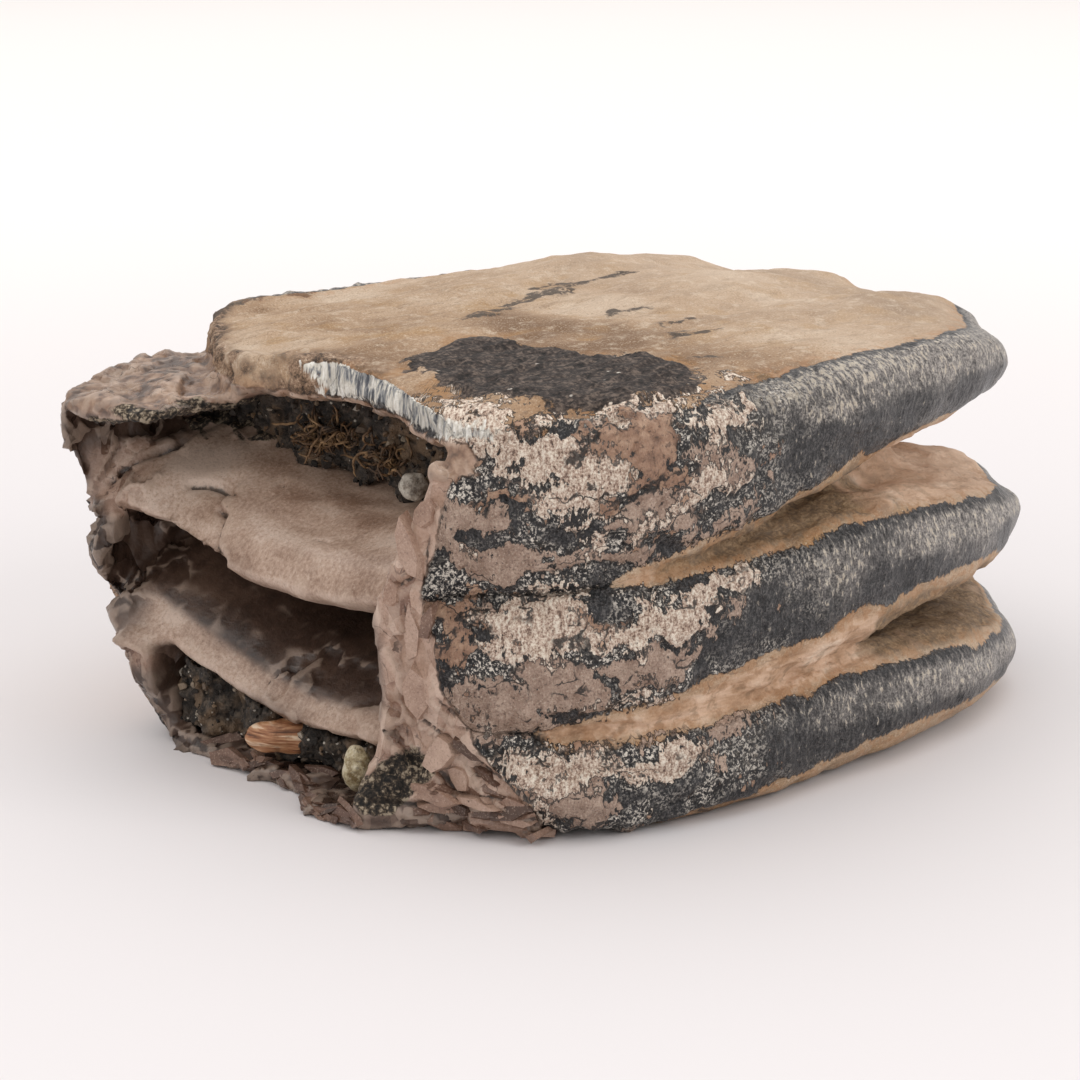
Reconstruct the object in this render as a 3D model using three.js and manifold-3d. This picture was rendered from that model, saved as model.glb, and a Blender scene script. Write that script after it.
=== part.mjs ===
/**
 * A fossil mammoth molar: three plates of a tooth germ, lying on its side as it rests on a table.
 *
 * The plates are stacked along Z like three fingers. They grow out of one open base at -X and run to their
 * free tips at +X, with cement between them. Each plate is hollow at the base: its pulp cavity is a slot that
 * narrows inwards, and the folds between two cavities end in tongues with round lips. The outer sheet of
 * enamel and cement is broken back on top, and grit with three small stones is still wedged in the cavities.
 *
 * Units are millimetres, +Z up. The tooth is drawn from the near corner of its base, with the table at Z = 0,
 * and the group at the end moves it so that its origin lies under the middle of its bounding box.
 */
import * as THREE from "three";
import { ImprovedNoise } from "three/addons/math/ImprovedNoise.js";
import { mergeVertices } from "three/addons/utils/BufferGeometryUtils.js";
import Module from "manifold-3d";

const wasm = await Module();
wasm.setup();

// ---------------------------------------------------------------- driving dimensions

/** The plates' common outline seen from above, anticlockwise from the far end of the broken base. */
const OUTLINE = [
  [-16, 40], [-16, 22], [-10, 9], [0, 4], [3, -2.5], [8, -8], [15, -11.7], [28, -14.1],
  [43, -15], [57, -14.7], [69, -12.4], [79, -7], [86, 1], [91, 12], [94, 26], [93, 40],
  [87, 51], [77, 58], [60, 62], [40, 64], [20, 64], [6, 62], [-2, 57.5], [-10, 49],
];
const OUTLINE_CENTRE = new THREE.Vector3(36, 26, 0);
const STEPS_ROUND = 54;

/** How far each ring of a plate lies in from its outline, from the edge to the middle. */
const RING_INSETS = [0, 0.8, 2.4, 5, 9, 14, 21, 29];
const INNERMOST_RING = 0.2; // share of the outline's radius

/**
 * The plates from the bottom one up: how far each reaches past the outline at its tip, and the heights of its
 * underside, edge and upper side over the stations along X.
 */
const STATIONS = [0, 22, 45, 68, 90];
const PLATES = [
  {
    reach: 1.5,
    under: [0, 0, 0, 0, 1],
    crest: [4, 4.6, 5.8, 5.4, 4.4],
    over: [10.2, 10.8, 12, 11.4, 8.4],
  },
  {
    reach: 1,
    under: [10.2, 10.8, 13, 14.8, 15.4],
    crest: [18.8, 19.2, 21, 21.2, 19],
    over: [23, 26, 27.8, 26.2, 22],
  },
  {
    reach: -1,
    under: [23, 26.4, 31.2, 33, 30.8],
    crest: [33.5, 35.4, 38, 37.8, 34.4],
    over: [41, 41.8, 42.8, 43, 40.6],
  },
];
const EDGE_ROUNDING = [4, 11]; // width of a plate's rounded edge at its base and at its tip
const EDGE_SQUARENESS = 2.3; // 2 is a plain quarter ellipse
const FAR_DROP = 0.6; // how much lower the top lies along its far side
const FAR_SIDE_LEAN = 0.3; // the far side comes in by this much for each mm below LEAN_FROM
const LEAN_FROM = 34;
const FOOT_LEAN = 0.25; // and by this much more for each mm below FOOT_FROM
const FOOT_FROM = 10;

/** Each plate ends in fingers side by side, which bulge its tip and run back along its top. */
const FINGER_PITCH = 20.5;
const FINGER_CENTRE_Y = 25;
const FINGER_REACH = 1.2;
const FINGER_SWELL = 0.7;
const UNDERSIDE_SWELL = 0.6; // share of the swell on a plate's underside
const TIP_FROM_X = 60; // the fingers show from here
const TIP_TO_X = 92;

/** Low, broad lumps all over the plates: their height on the faces and on the edge. */
const FACE_LUMPS = 0.5;
const EDGE_LUMPS = 0.4;

/** Cement fills the valleys between the plates to this depth from the outline, over the stations along X. */
const VALLEY_DEPTH = [2, 4, 8.5, 13, 18];
const CEMENT_FROM_Z = 5;
const CEMENT_TO_Z = 38;
/** Each valley is a hollow curve: its depth's share, over heights from -1 at the lower plate to 1 above. */
const VALLEY_CURVE = [[-1, 0.5], [-0.7, 0.8], [0, 1], [0.7, 0.8], [1, 0.5]];
const VALLEY_OVERLAP = 0.7; // how far the cement goes into each plate
const FINGER_GROOVE = 1.5; // how much deeper or shallower the fingers make a valley

/** The broken base: where it lies along X over the stations along Y, and how rough it is. */
const BASE_STATIONS = [-20, -6, 2, 8, 13, 18, 23, 40, 46, 52, 64, 80];
const BASE_X = [9, 3.5, 0.2, -1, -2.5, -2.8, -3, -3.5, -4.5, -6.5, -2, 2];
const BASE_FOOT_X = [9, 4.5, 0.8, -2, -5, -4.6, -0.8, -1, 0, 2, 4, 6];
const FOOT_HEIGHT = 7;
const BASE_ROUGHNESS = 2.2;
const BASE_LUMP_SIZE = 9;

/** The outer sheet on top is broken back to this line, over the stations along Y, down to the ledge. */
const SHEET_STATIONS = [-10, 0, 5, 14, 26, 37, 43, 49, 56, 70];
const SHEET_EDGE_X = [-4, 0.5, 1.5, 5, 8.5, 4.5, 6.5, 11.5, 17, 33];
const SHEET_EDGE_ROUGHNESS = 0.9;
const LEDGE_Z = 36.6;
const LEDGE_ROUGHNESS = 1.1;

/** The folds between the cavities: the height of each tongue's lip over the stations along Y. */
const LIP_STATIONS = [8, 17, 24, 31, 38, 46, 58];
const UPPER_LIP_Z = [21.6, 20.6, 20.2, 20.6, 22.3, 24.2, 27.6];
const LOWER_LIP_Z = [8, 7.2, 6.9, 8, 9.8, 12.4, 16];

/** How a cavity's walls leave the lip, over the distance in from it: up over a tongue, down under it. */
const DEPTH_STATIONS = [-2, 0, 1, 3, 8, 15, 24, 34];
const RISE_OVER_TONGUE = [-1.5, 0.7, 2.1, 3.7, 6, 8, 9.6, 10.8];
const DROP_UNDER_TONGUE = [1.5, -0.6, -1.3, -1.7, -1.5, -1.2, -1.6, -2.2];

/** The upper tongue is split in two lobes: the near one stands proud of the far one. */
const LOBES_MEET_Y = 36;
const LOBE_STEP = 0.9;
const LOBE_DEPTH = 15;

/** The cavities' sides along Y, their depth along X, and how far the top one widens towards its roof. */
const BOTTOM_CAVITY = { near: 11.5, far: 44.5, depth: 26 };
const MIDDLE_CAVITY = { near: 11, far: 51.5, depth: 30 };
const TOP_CAVITY = { near: 10.7, far: 54, depth: 33, flare: 7 };
const BOTTOM_WALL = [1.4, 3.4]; // thickness of the tooth under the bottom cavity, at its mouth and inside
const BOTTOM_WALL_TILT = 0.04; // and how much it grows for each mm towards the far side
const TOP_ROOF_Z = [37.4, 34.4, 34]; // the top cavity's roof: under the sheet, under the ledge, and inside
const CAVITY_TAPER = 5; // how far each side comes in towards a cavity's end
const CAVITY_ROUNDING = 0.3; // how much shorter a cavity is at its sides, as a share of its depth
const LEAST_CAVITY = 1.2; // no cavity is lower than this

/** Grit fills the inner part of a cavity and keeps this far from its walls. */
const GRIT_GAP = 0.4;
const UPPER_GRIT_FROM_X = 13;
const LOWER_GRIT_FROM_X = 1.2;
const GRIT_ROUGHNESS = 1.3;

/** The three small stones: centre, half sizes and turn about Z in degrees. */
const STONES = {
  pebble_white: { centre: [11.6, 19.2, 29.3], half: [1.2, 1.3, 1.35], turn: 20, color: 0xb9b6ae },
  pebble_cream: { centre: [-0.6, 14.8, 4.4], half: [1.4, 1.4, 2.1], turn: 0, color: 0xd2c79c },
  shell_orange: { centre: [1.6, 28.8, 4], half: [1.1, 2.8, 1.5], turn: 43, color: 0xb5713f },
};
const STONE_UNEVENNESS = 0.07; // share of its radius

// ---------------------------------------------------------------- small helpers

const noise = new ImprovedNoise();
const { clamp, lerp, smoothstep } = THREE.MathUtils;

/** The value at `at` on a line through `values`, which stand over `stations`. */
function along(stations, values, at) {
  const last = stations.length - 1;
  const x = clamp(at, stations[0], stations[last]);
  const next = Math.max(1, stations.findIndex((station) => station >= x));
  const share = (x - stations[next - 1]) / (stations[next] - stations[next - 1]);
  return lerp(values[next - 1], values[next], share);
}

/** Smooth noise of about -1 to 1 whose lumps are `size` mm across. */
function lumps(size, x, y, z) {
  return noise.noise(x / size + 11.3, y / size + 5.7, z / size + 2.1) * 1.6;
}

/** Moves each vertex of `geometry` to where `place` puts it and gives the closed solid. */
function solidFrom(geometry, place) {
  const position = geometry.getAttribute("position");
  const point = new THREE.Vector3();
  for (let i = 0; i < position.count; i += 1) {
    point.fromBufferAttribute(position, i);
    place(point, i);
    position.setXYZ(i, point.x, point.y, point.z);
  }
  geometry.deleteAttribute("normal");
  geometry.deleteAttribute("uv");
  const merged = mergeVertices(geometry, 1e-3);
  return new wasm.Manifold(new wasm.Mesh({
    numProp: 3,
    vertProperties: merged.getAttribute("position").array,
    triVerts: new Uint32Array(merged.index.array),
  }));
}

/** The named mesh of a finished solid. */
function meshFrom(name, solid, material) {
  const { vertProperties, triVerts } = solid.getMesh();
  const geometry = new THREE.BufferGeometry();
  geometry.setAttribute("position", new THREE.BufferAttribute(vertProperties, 3));
  geometry.setIndex(new THREE.BufferAttribute(triVerts, 1));
  geometry.computeVertexNormals();
  const mesh = new THREE.Mesh(geometry, material);
  mesh.name = name;
  return mesh;
}

// ---------------------------------------------------------------- plates and cement

const outlineCurve = new THREE.CatmullRomCurve3(
  OUTLINE.map(([x, y]) => new THREE.Vector3(x, y, 0)), true, "centripetal",
);

/** 1 on top of a finger, -1 in the groove between two. */
function fingerWave(y) {
  return Math.cos((2 * Math.PI * (y - FINGER_CENTRE_Y)) / FINGER_PITCH);
}

/** The point of the outline at `turn`, brought in by `inset` mm towards the centre. */
function outlinePoint(turn, inset, reach) {
  const edge = outlineCurve.getPointAt(turn % 1);
  const tip = smoothstep(edge.x, TIP_FROM_X, TIP_TO_X);
  const outward = edge.clone().sub(OUTLINE_CENTRE);
  const radius = outward.length();
  outward.normalize();
  const grown = radius + reach * smoothstep(edge.x, 10, 70) + FINGER_REACH * tip * fingerWave(edge.y);
  const left = inset === Infinity ? 0 : Math.max(grown - inset, grown * INNERMOST_RING);
  return OUTLINE_CENTRE.clone().addScaledVector(outward, left);
}

/** How much of a plate's half thickness is reached at `inset` mm from its edge. */
function edgeRound(inset, x) {
  const width = lerp(EDGE_ROUNDING[0], EDGE_ROUNDING[1], smoothstep(x, 20, 88));
  const share = clamp(inset / width, 0, 1);
  return (1 - (1 - share) ** EDGE_SQUARENESS) ** (1 / EDGE_SQUARENESS);
}

/** Leans the far side in towards the table. */
function lean(point) {
  const side = smoothstep(point.y, 25, 62);
  point.y -= side * FAR_SIDE_LEAN * Math.max(LEAN_FROM - point.z, 0);
  point.y -= side * FOOT_LEAN * Math.max(FOOT_FROM - point.z, 0);
}

/** One plate: a flat pillow with a rounded edge, from a sphere whose rings run round the outline. */
function plate({ reach, under, crest, over }, index) {
  const isLowest = index === 0;
  const isTop = index === PLATES.length - 1;
  const half = RING_INSETS.length;
  const geometry = new THREE.SphereGeometry(1, STEPS_ROUND, 2 * half);
  return solidFrom(geometry, (point, vertex) => {
    const ring = Math.floor(vertex / (STEPS_ROUND + 1));
    const turn = (vertex % (STEPS_ROUND + 1)) / STEPS_ROUND;
    const fromEdge = Math.abs(ring - half);
    const inset = fromEdge === half ? Infinity : RING_INSETS[fromEdge];
    point.copy(outlinePoint(turn, inset, reach));
    const { x, y } = point;
    const fingers = FINGER_SWELL * smoothstep(x, 10, 80) * fingerWave(y);
    const swell = fingers + FACE_LUMPS * lumps(17, x / 2, y, under[0]);
    const drop = isTop ? FAR_DROP * smoothstep(y, 30, 62) : 0;
    const top = along(STATIONS, over, x) + swell - drop;
    const bottom = along(STATIONS, under, x) - (isLowest ? 0 : swell * UNDERSIDE_SWELL);
    const edge = along(STATIONS, crest, x) + EDGE_LUMPS * lumps(14, x, y, crest[0]);
    point.z = lerp(edge, ring < half ? top : bottom, edgeRound(inset, x));
    lean(point);
  });
}

/** The heights of the cement's rings above `x`, with each ring's share of the valley's depth. */
function cementRings(x) {
  const rings = [{ z: CEMENT_FROM_Z, share: VALLEY_CURVE[0][1] }];
  for (let valley = 0; valley < PLATES.length - 1; valley += 1) {
    const low = along(STATIONS, PLATES[valley].over, x) - VALLEY_OVERLAP;
    const high = along(STATIONS, PLATES[valley + 1].under, x) + VALLEY_OVERLAP;
    for (const [height, share] of VALLEY_CURVE) {
      rings.push({ z: lerp(low, high, (height + 1) / 2), share });
    }
  }
  rings.push({ z: CEMENT_TO_Z, share: VALLEY_CURVE[0][1] });
  return rings;
}

/** The cement that holds the plates together: an upright drum with a hollow curve in each valley. */
function cement() {
  const levels = cementRings(0).length - 1;
  const geometry = new THREE.CylinderGeometry(1, 1, 1, STEPS_ROUND, levels);
  return solidFrom(geometry, (point) => {
    const isAxis = Math.hypot(point.x, point.z) < 0.5;
    const turn = (Math.atan2(point.x, point.z) / (2 * Math.PI) + 1) % 1;
    const edge = outlinePoint(turn, 0, 0);
    const { z, share } = cementRings(edge.x)[Math.round((point.y + 0.5) * levels)];
    const groove = FINGER_GROOVE * smoothstep(edge.x, TIP_FROM_X, TIP_TO_X) * fingerWave(edge.y);
    const depth = along(STATIONS, VALLEY_DEPTH, edge.x) * share - groove;
    point.copy(outlinePoint(turn, isAxis ? Infinity : depth, 0));
    point.z = isAxis ? lerp(CEMENT_FROM_Z, CEMENT_TO_Z, Math.round(z / CEMENT_TO_Z)) : z;
    lean(point);
  });
}

// ---------------------------------------------------------------- cuts

/**
 * A solid between two height fields. `span(s, t, isFloor)` gives its X and Y for s and t from 0 to 1, and
 * `floor` and `roof` its heights there.
 */
function between(span, floor, roof, stepsX, stepsY) {
  const geometry = new THREE.BoxGeometry(1, 1, 1, stepsX, stepsY, 1);
  return solidFrom(geometry, (point) => {
    const [x, y] = span(point.x + 0.5, point.y + 0.5, point.z < 0);
    point.set(x, y, point.z < 0 ? floor(x, y) : roof(x, y));
  });
}

/** Everything in front of the broken base. */
function baseCut() {
  const geometry = new THREE.BoxGeometry(1, 1, 1, 1, 26, 16);
  return solidFrom(geometry, (point) => {
    const y = lerp(-24, 76, point.y + 0.5);
    const z = lerp(-4, 50, point.z + 0.5);
    const lumpy = BASE_ROUGHNESS * lumps(BASE_LUMP_SIZE, y, z, 0) * smoothstep(z, -4, 6);
    const foot = along(BASE_STATIONS, BASE_FOOT_X, y);
    const broken = lerp(foot, along(BASE_STATIONS, BASE_X, y), smoothstep(z, 2, FOOT_HEIGHT));
    point.set(point.x < 0 ? -40 : broken + lumpy, y, z);
  });
}

/** The missing part of the outer sheet, above the ledge. */
function sheetCut() {
  const span = (s, t) => {
    const y = lerp(-10, 72, t);
    const edge = along(SHEET_STATIONS, SHEET_EDGE_X, y) + SHEET_EDGE_ROUGHNESS * lumps(5, y, 3, 8);
    return [lerp(-24, edge, s), y];
  };
  const ledge = (x, y) => LEDGE_Z + LEDGE_ROUGHNESS * lumps(7, x, y, 1) * smoothstep(y, 36, 43);
  return between(span, ledge, () => 60, 8, 30);
}

const upperLip = (y) => along(LIP_STATIONS, UPPER_LIP_Z, y);
const lowerLip = (y) => along(LIP_STATIONS, LOWER_LIP_Z, y);
const over = (lip) => (x, y) => lip(y) + along(DEPTH_STATIONS, RISE_OVER_TONGUE, x);
const under = (lip) => (x, y) => lip(y) + along(DEPTH_STATIONS, DROP_UNDER_TONGUE, x);

/** How much the near lobe of the upper tongue stands proud. */
function lobeStep(x, y) {
  return LOBE_STEP * smoothstep(LOBES_MEET_Y - y, -1, 1) * (1 - smoothstep(x, 2, LOBE_DEPTH));
}

/** The floor under the bottom cavity. */
function bottomFloor(x, y) {
  const wall = lerp(BOTTOM_WALL[0], BOTTOM_WALL[1], smoothstep(x, 0, BOTTOM_CAVITY.depth));
  return wall + BOTTOM_WALL_TILT * Math.max(y - 30, 0);
}

/** The roof of the top cavity. It is lower under the ledge, past Y = 37 to 45. */
function topRoof(x, y) {
  const mouth = lerp(TOP_ROOF_Z[0], TOP_ROOF_Z[1], smoothstep(y, 37, 45));
  return lerp(mouth, TOP_ROOF_Z[2], smoothstep(x, 12, TOP_CAVITY.depth));
}

/** The three pulp cavities, from the bottom one up. */
const CAVITIES = [
  { ...BOTTOM_CAVITY, floor: bottomFloor, roof: under(lowerLip) },
  { ...MIDDLE_CAVITY, floor: over(lowerLip), roof: under(upperLip) },
  { ...TOP_CAVITY, floor: (x, y) => over(upperLip)(x, y) + lobeStep(x, y), roof: topRoof },
];

/** A cavity's plan: it narrows and rounds off inwards. `from` is where it starts along X. */
function cavitySpan({ near, far, depth, flare = 0 }, from, clear = 0) {
  return (s, t, isFloor) => {
    const across = 2 * t - 1;
    const end = (depth - clear) * (1 - CAVITY_ROUNDING * across ** 4);
    const x = lerp(from, end, s);
    const narrow = CAVITY_TAPER * smoothstep(x, 2, depth);
    const atFloor = near + narrow + clear;
    const atRoof = atFloor + clear - flare;
    return [x, lerp(isFloor ? atFloor : atRoof, far - narrow - clear, t)];
  };
}

function cavityCut(cavity) {
  const roof = (x, y) => Math.max(cavity.roof(x, y), cavity.floor(x, y) + LEAST_CAVITY);
  return between(cavitySpan(cavity, -14), cavity.floor, roof, 22, 12);
}

// ---------------------------------------------------------------- the tooth

function molar() {
  let solid = cement();
  for (const solidPlate of PLATES.map(plate)) {
    solid = solid.add(solidPlate);
  }
  for (const cut of [baseCut(), sheetCut(), ...CAVITIES.map(cavityCut)]) {
    solid = solid.subtract(cut);
  }
  return solid;
}

/** A small stone, made larger all round by `gap`. */
function stone({ centre, half, turn }, gap = 0) {
  const geometry = new THREE.IcosahedronGeometry(1, 2);
  const spin = new THREE.Euler(0, 0, THREE.MathUtils.degToRad(turn));
  return solidFrom(geometry, (point) => {
    const uneven = 1 + STONE_UNEVENNESS * lumps(0.9, point.x, point.y, point.z);
    point.multiplyScalar(uneven);
    point.set(point.x * (half[0] + gap), point.y * (half[1] + gap), point.z * (half[2] + gap));
    point.applyEuler(spin).add(new THREE.Vector3(...centre));
  });
}

/** The grit in `cavity`, from `fromX` inwards, with a pocket round each of `stones`. */
function grit(cavity, fromX, stones) {
  const span = (s, t, isFloor) => {
    const y = lerp(cavity.near, cavity.far, t);
    const front = fromX + GRIT_ROUGHNESS * lumps(4, y, isFloor ? 0 : 3, fromX);
    return cavitySpan(cavity, front, GRIT_GAP)(s, t, isFloor);
  };
  const floor = (x, y) => cavity.floor(x, y) + GRIT_GAP;
  const roof = (x, y) => Math.max(cavity.roof(x, y), cavity.floor(x, y) + LEAST_CAVITY) - GRIT_GAP;
  let solid = between(span, floor, roof, 8, 12);
  for (const dimensions of stones) {
    solid = solid.subtract(stone(dimensions, GRIT_GAP));
  }
  return solid;
}

function matte(color, roughness) {
  return new THREE.MeshStandardMaterial({ color, roughness, metalness: 0 });
}

const dentine = matte(0x8f7564, 0.5);
const earth = matte(0x3c352f, 0.95);
const lowerGrit = grit(CAVITIES[0], LOWER_GRIT_FROM_X, [STONES.pebble_cream, STONES.shell_orange]);
const upperGrit = grit(CAVITIES[2], UPPER_GRIT_FROM_X, [STONES.pebble_white]);

const tooth = new THREE.Group();
tooth.add(meshFrom("molar", molar(), dentine));
tooth.add(meshFrom("sediment_lower", lowerGrit, earth));
tooth.add(meshFrom("sediment_upper", upperGrit, earth));
for (const [name, dimensions] of Object.entries(STONES)) {
  tooth.add(meshFrom(name, stone(dimensions), matte(dimensions.color, 0.6)));
}

const fossil = new THREE.Group();
fossil.add(tooth);
const box = new THREE.Box3().setFromObject(tooth);
const middle = box.getCenter(new THREE.Vector3());
tooth.position.set(-middle.x, -middle.y, -box.min.z);

export default fossil;
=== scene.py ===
"""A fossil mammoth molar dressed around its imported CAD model: three plates of a tooth germ, lying on a table.

Sizes in this file are millimetres in the tooth's own frame: X from the broken base to the free tips, Y from the
near side to the far side, Z up from the table. CORNER gives that frame's origin in the row frame.
"""
import math
from itertools import product

import bmesh
import bpy
import numpy as np
from mathutils import Euler, Matrix, Vector


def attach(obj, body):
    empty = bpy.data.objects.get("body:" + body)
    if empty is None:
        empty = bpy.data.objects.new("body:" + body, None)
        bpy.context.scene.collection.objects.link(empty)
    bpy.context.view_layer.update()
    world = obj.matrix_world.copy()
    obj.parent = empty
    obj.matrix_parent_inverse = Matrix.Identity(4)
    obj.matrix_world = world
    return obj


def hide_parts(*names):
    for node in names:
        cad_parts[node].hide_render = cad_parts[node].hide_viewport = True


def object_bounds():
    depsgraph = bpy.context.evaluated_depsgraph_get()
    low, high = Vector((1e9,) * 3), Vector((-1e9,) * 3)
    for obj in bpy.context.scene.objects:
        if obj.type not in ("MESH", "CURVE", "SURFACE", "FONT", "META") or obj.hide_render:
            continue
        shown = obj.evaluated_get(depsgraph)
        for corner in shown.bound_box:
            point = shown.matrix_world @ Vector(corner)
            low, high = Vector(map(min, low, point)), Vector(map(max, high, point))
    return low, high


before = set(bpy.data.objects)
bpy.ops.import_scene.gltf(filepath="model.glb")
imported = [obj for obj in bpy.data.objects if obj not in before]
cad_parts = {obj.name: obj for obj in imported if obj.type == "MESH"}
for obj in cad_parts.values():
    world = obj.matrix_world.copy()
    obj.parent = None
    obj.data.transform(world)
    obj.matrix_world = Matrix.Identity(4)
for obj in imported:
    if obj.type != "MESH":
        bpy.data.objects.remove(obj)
CAD_BOX = [list(corner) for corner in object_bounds()]

bl_info = {
    "name": "Fossil Mammoth Molar",
    "version": (1, 0, 0),
    "blender": (4, 5, 0),
    "location": "View3D > Sidebar > Fossil",
    "description": "Dresses a three-plate mammoth molar fossil with relief, stones and grit",
    "category": "Add Mesh",
}

MM = 0.001
CORNER = np.array((-45.69, -23.99, 0.0))
MERGE = 0.001  # corners of a CAD mesh that are closer than this are one
OUTSIDE = -9.0  # the depth of a point that lies far outside a region

# ---------------------------------------------------------------- the tooth's measures

MIDDLE = (36.0, 26.0)  # the outline is measured around this point
OUTLINE_STEPS = 180  # directions in which it is measured
# the plates' undersides, ridges and upper sides, from the lowest plate up, at these places along X
STATIONS = (0, 22, 45, 68, 90)
UNDER = ((0, 0, 0, 0, 1), (10.2, 10.8, 13, 14.8, 15.4), (23, 26.4, 31.2, 33, 30.8))
CREST = ((4, 4.6, 5.8, 5.4, 4.4), (18.8, 19.2, 21, 21.2, 19), (33.5, 35.4, 38, 37.8, 34.4))
OVER = ((10.2, 10.8, 12, 11.4, 8.4), (23, 26, 27.8, 26.2, 22), (41, 41.8, 42.8, 43, 40.6))

# where bare enamel starts and ends on each ridge, as heights over the stations along X
BAND_X = (6, 12, 18, 26, 32, 40, 52, 65, 90)
BAND_LOW = (
    (-6, -4, 1.4, 2.0, 2.6, 3.4, 3.7, 3.2, 2.6),
    (11.5, 13, 13.9, 15.3, 16.3, 17.6, 17.9, 18.0, 15.5),
    (24.5, 26, 27.5, 29, 30.5, 32.5, 33.6, 33.4, 31.5),
)
BAND_HIGH = (
    (9.3, 9.1, 9.4, 9.8, 10.2, 10.8, 10.3, 9.1, 7.6),
    (23.4, 24.1, 24.8, 25.0, 25.3, 26.2, 26.2, 24.9, 22),
    (41.5, 41.2, 41.8, 43.9, 44.8, 45.0, 44.4, 44.6, 43),
)

# the broken base: its line along Y, and where enamel takes over from dentine at the near corner, over Z
BASE_Y = (-20, -6, 2, 8, 13, 18, 23, 40, 46, 52, 64, 80)
BASE_X = (9, 3.5, 0.2, -1, -2.5, -2.8, -3, -3.5, -4.5, -6.5, -2, 2)
CORNER_Z = (1, 4, 6.6, 9.5, 14.6, 19.6, 23, 27.2, 31, 34.8, 38.5)
CORNER_Y = (-4.1, -3.7, -0.8, 2.4, 4.0, 4.1, 5.8, 4.5, 3.9, 2.7, 1.8)

# the outer sheet's broken edge on top
SHEET_Y = (-10, 0, 5, 14, 26, 37, 43, 49, 56, 70)
SHEET_X = (-4, 0.5, 1.5, 5, 8.5, 4.5, 6.5, 11.5, 17, 33)
LEDGE_Z = 36.6

# the tongues' lips and the cavities above and below them
LIP_Y = (8, 17, 24, 31, 38, 46, 58)
UPPER_LIP_Z = (21.6, 20.6, 20.2, 20.6, 22.3, 24.2, 27.6)
LOWER_LIP_Z = (8, 7.2, 6.9, 8, 9.8, 12.4, 16)
DIRT_Y = (8, 18, 29, 35, 43, 54)
DIRT_Z = (30.2, 29.8, 29.6, 30.6, 30.7, 31.8)
DIRT_X = (9.5, 10.2, 13.0, 12.3, 11.6, 3.0)
STEP_Z = (21.6, 22.9, 24.1, 25.5, 26.4)
STEP_Y = (33.8, 35.9, 36.4, 37.1, 38.8)
# the pulp cavities: near side, far side and depth, from the lowest up, and how their roofs and floors run inwards
CAVITIES = ((11.5, 44.5, 26), (11, 51.5, 30), (10.7, 54, 33))
CAVITY_FLOOR_Z = 1.6
CAVITY_ROOF_Z = 37.4
CAVITY_NARROWING = 5
CAVITY_BLUNTNESS = 0.3
DEPTH_X = (-2, 0, 1, 3, 8, 15, 24, 34)
RISE = (-1.5, 0.7, 2.1, 3.7, 6, 8, 9.6, 10.8)
DROP = (1.5, -0.6, -1.3, -1.7, -1.5, -1.2, -1.6, -2.2)

# patches on the near corner: kind, centre, half width along the surface, half height, rise per mm of X
PATCHES = (
    ("cream", (8.2, -6.8, 36.9), 3.6, 2.6, 0.0),
    ("cream", (11.5, -6.2, 40.4), 6.5, 0.8, 0.0),
    ("cream", (3.6, -0.6, 38.6), 2.6, 1.3, 0.0),
    ("cream", (7.4, -5.4, 21.6), 5.6, 1.7, 0.1),
    ("cream", (15.4, -11.0, 21.9), 4.2, 1.7, 0.15),
    ("cream", (22.5, -12.6, 22.0), 2.2, 1.2, 0.1),
    ("cream", (7.6, -6.2, 7.3), 5.0, 1.5, 0.0),
    ("cream", (15.5, -11.2, 7.0), 2.4, 1.3, 0.2),
    ("cream", (19.5, -12.2, 34.0), 3.2, 1.0, 0.45),
    ("clay", (7.2, -6.2, 28.3), 4.0, 1.3, 0.1),
    ("clay", (13.5, -10.4, 31.3), 4.6, 1.9, 0.35),
    ("clay", (6.4, -6.0, 15.9), 3.1, 1.2, -0.35),
    ("clay", (12.8, -10.4, 16.7), 4.2, 1.0, 0.25),
    ("clay", (2.6, 1.0, 12.7), 2.6, 1.7, 0.0),
    ("clay", (7.9, -7.2, 4.0), 3.6, 2.0, 0.0),
    ("clay", (2.6, 0.4, 27.8), 3.6, 1.2, 0.0),
    ("clay", (3.0, -0.4, 30.0), 3.0, 0.9, 0.0),
    ("rust", (11.3, -9.0, 37.9), 2.7, 1.5, 0.0),
    ("rust", (13.3, -10.6, 35.2), 2.0, 1.2, 0.0),
    ("rust", (0.9, 3.0, 19.4), 1.7, 2.4, 0.0),
)

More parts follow.
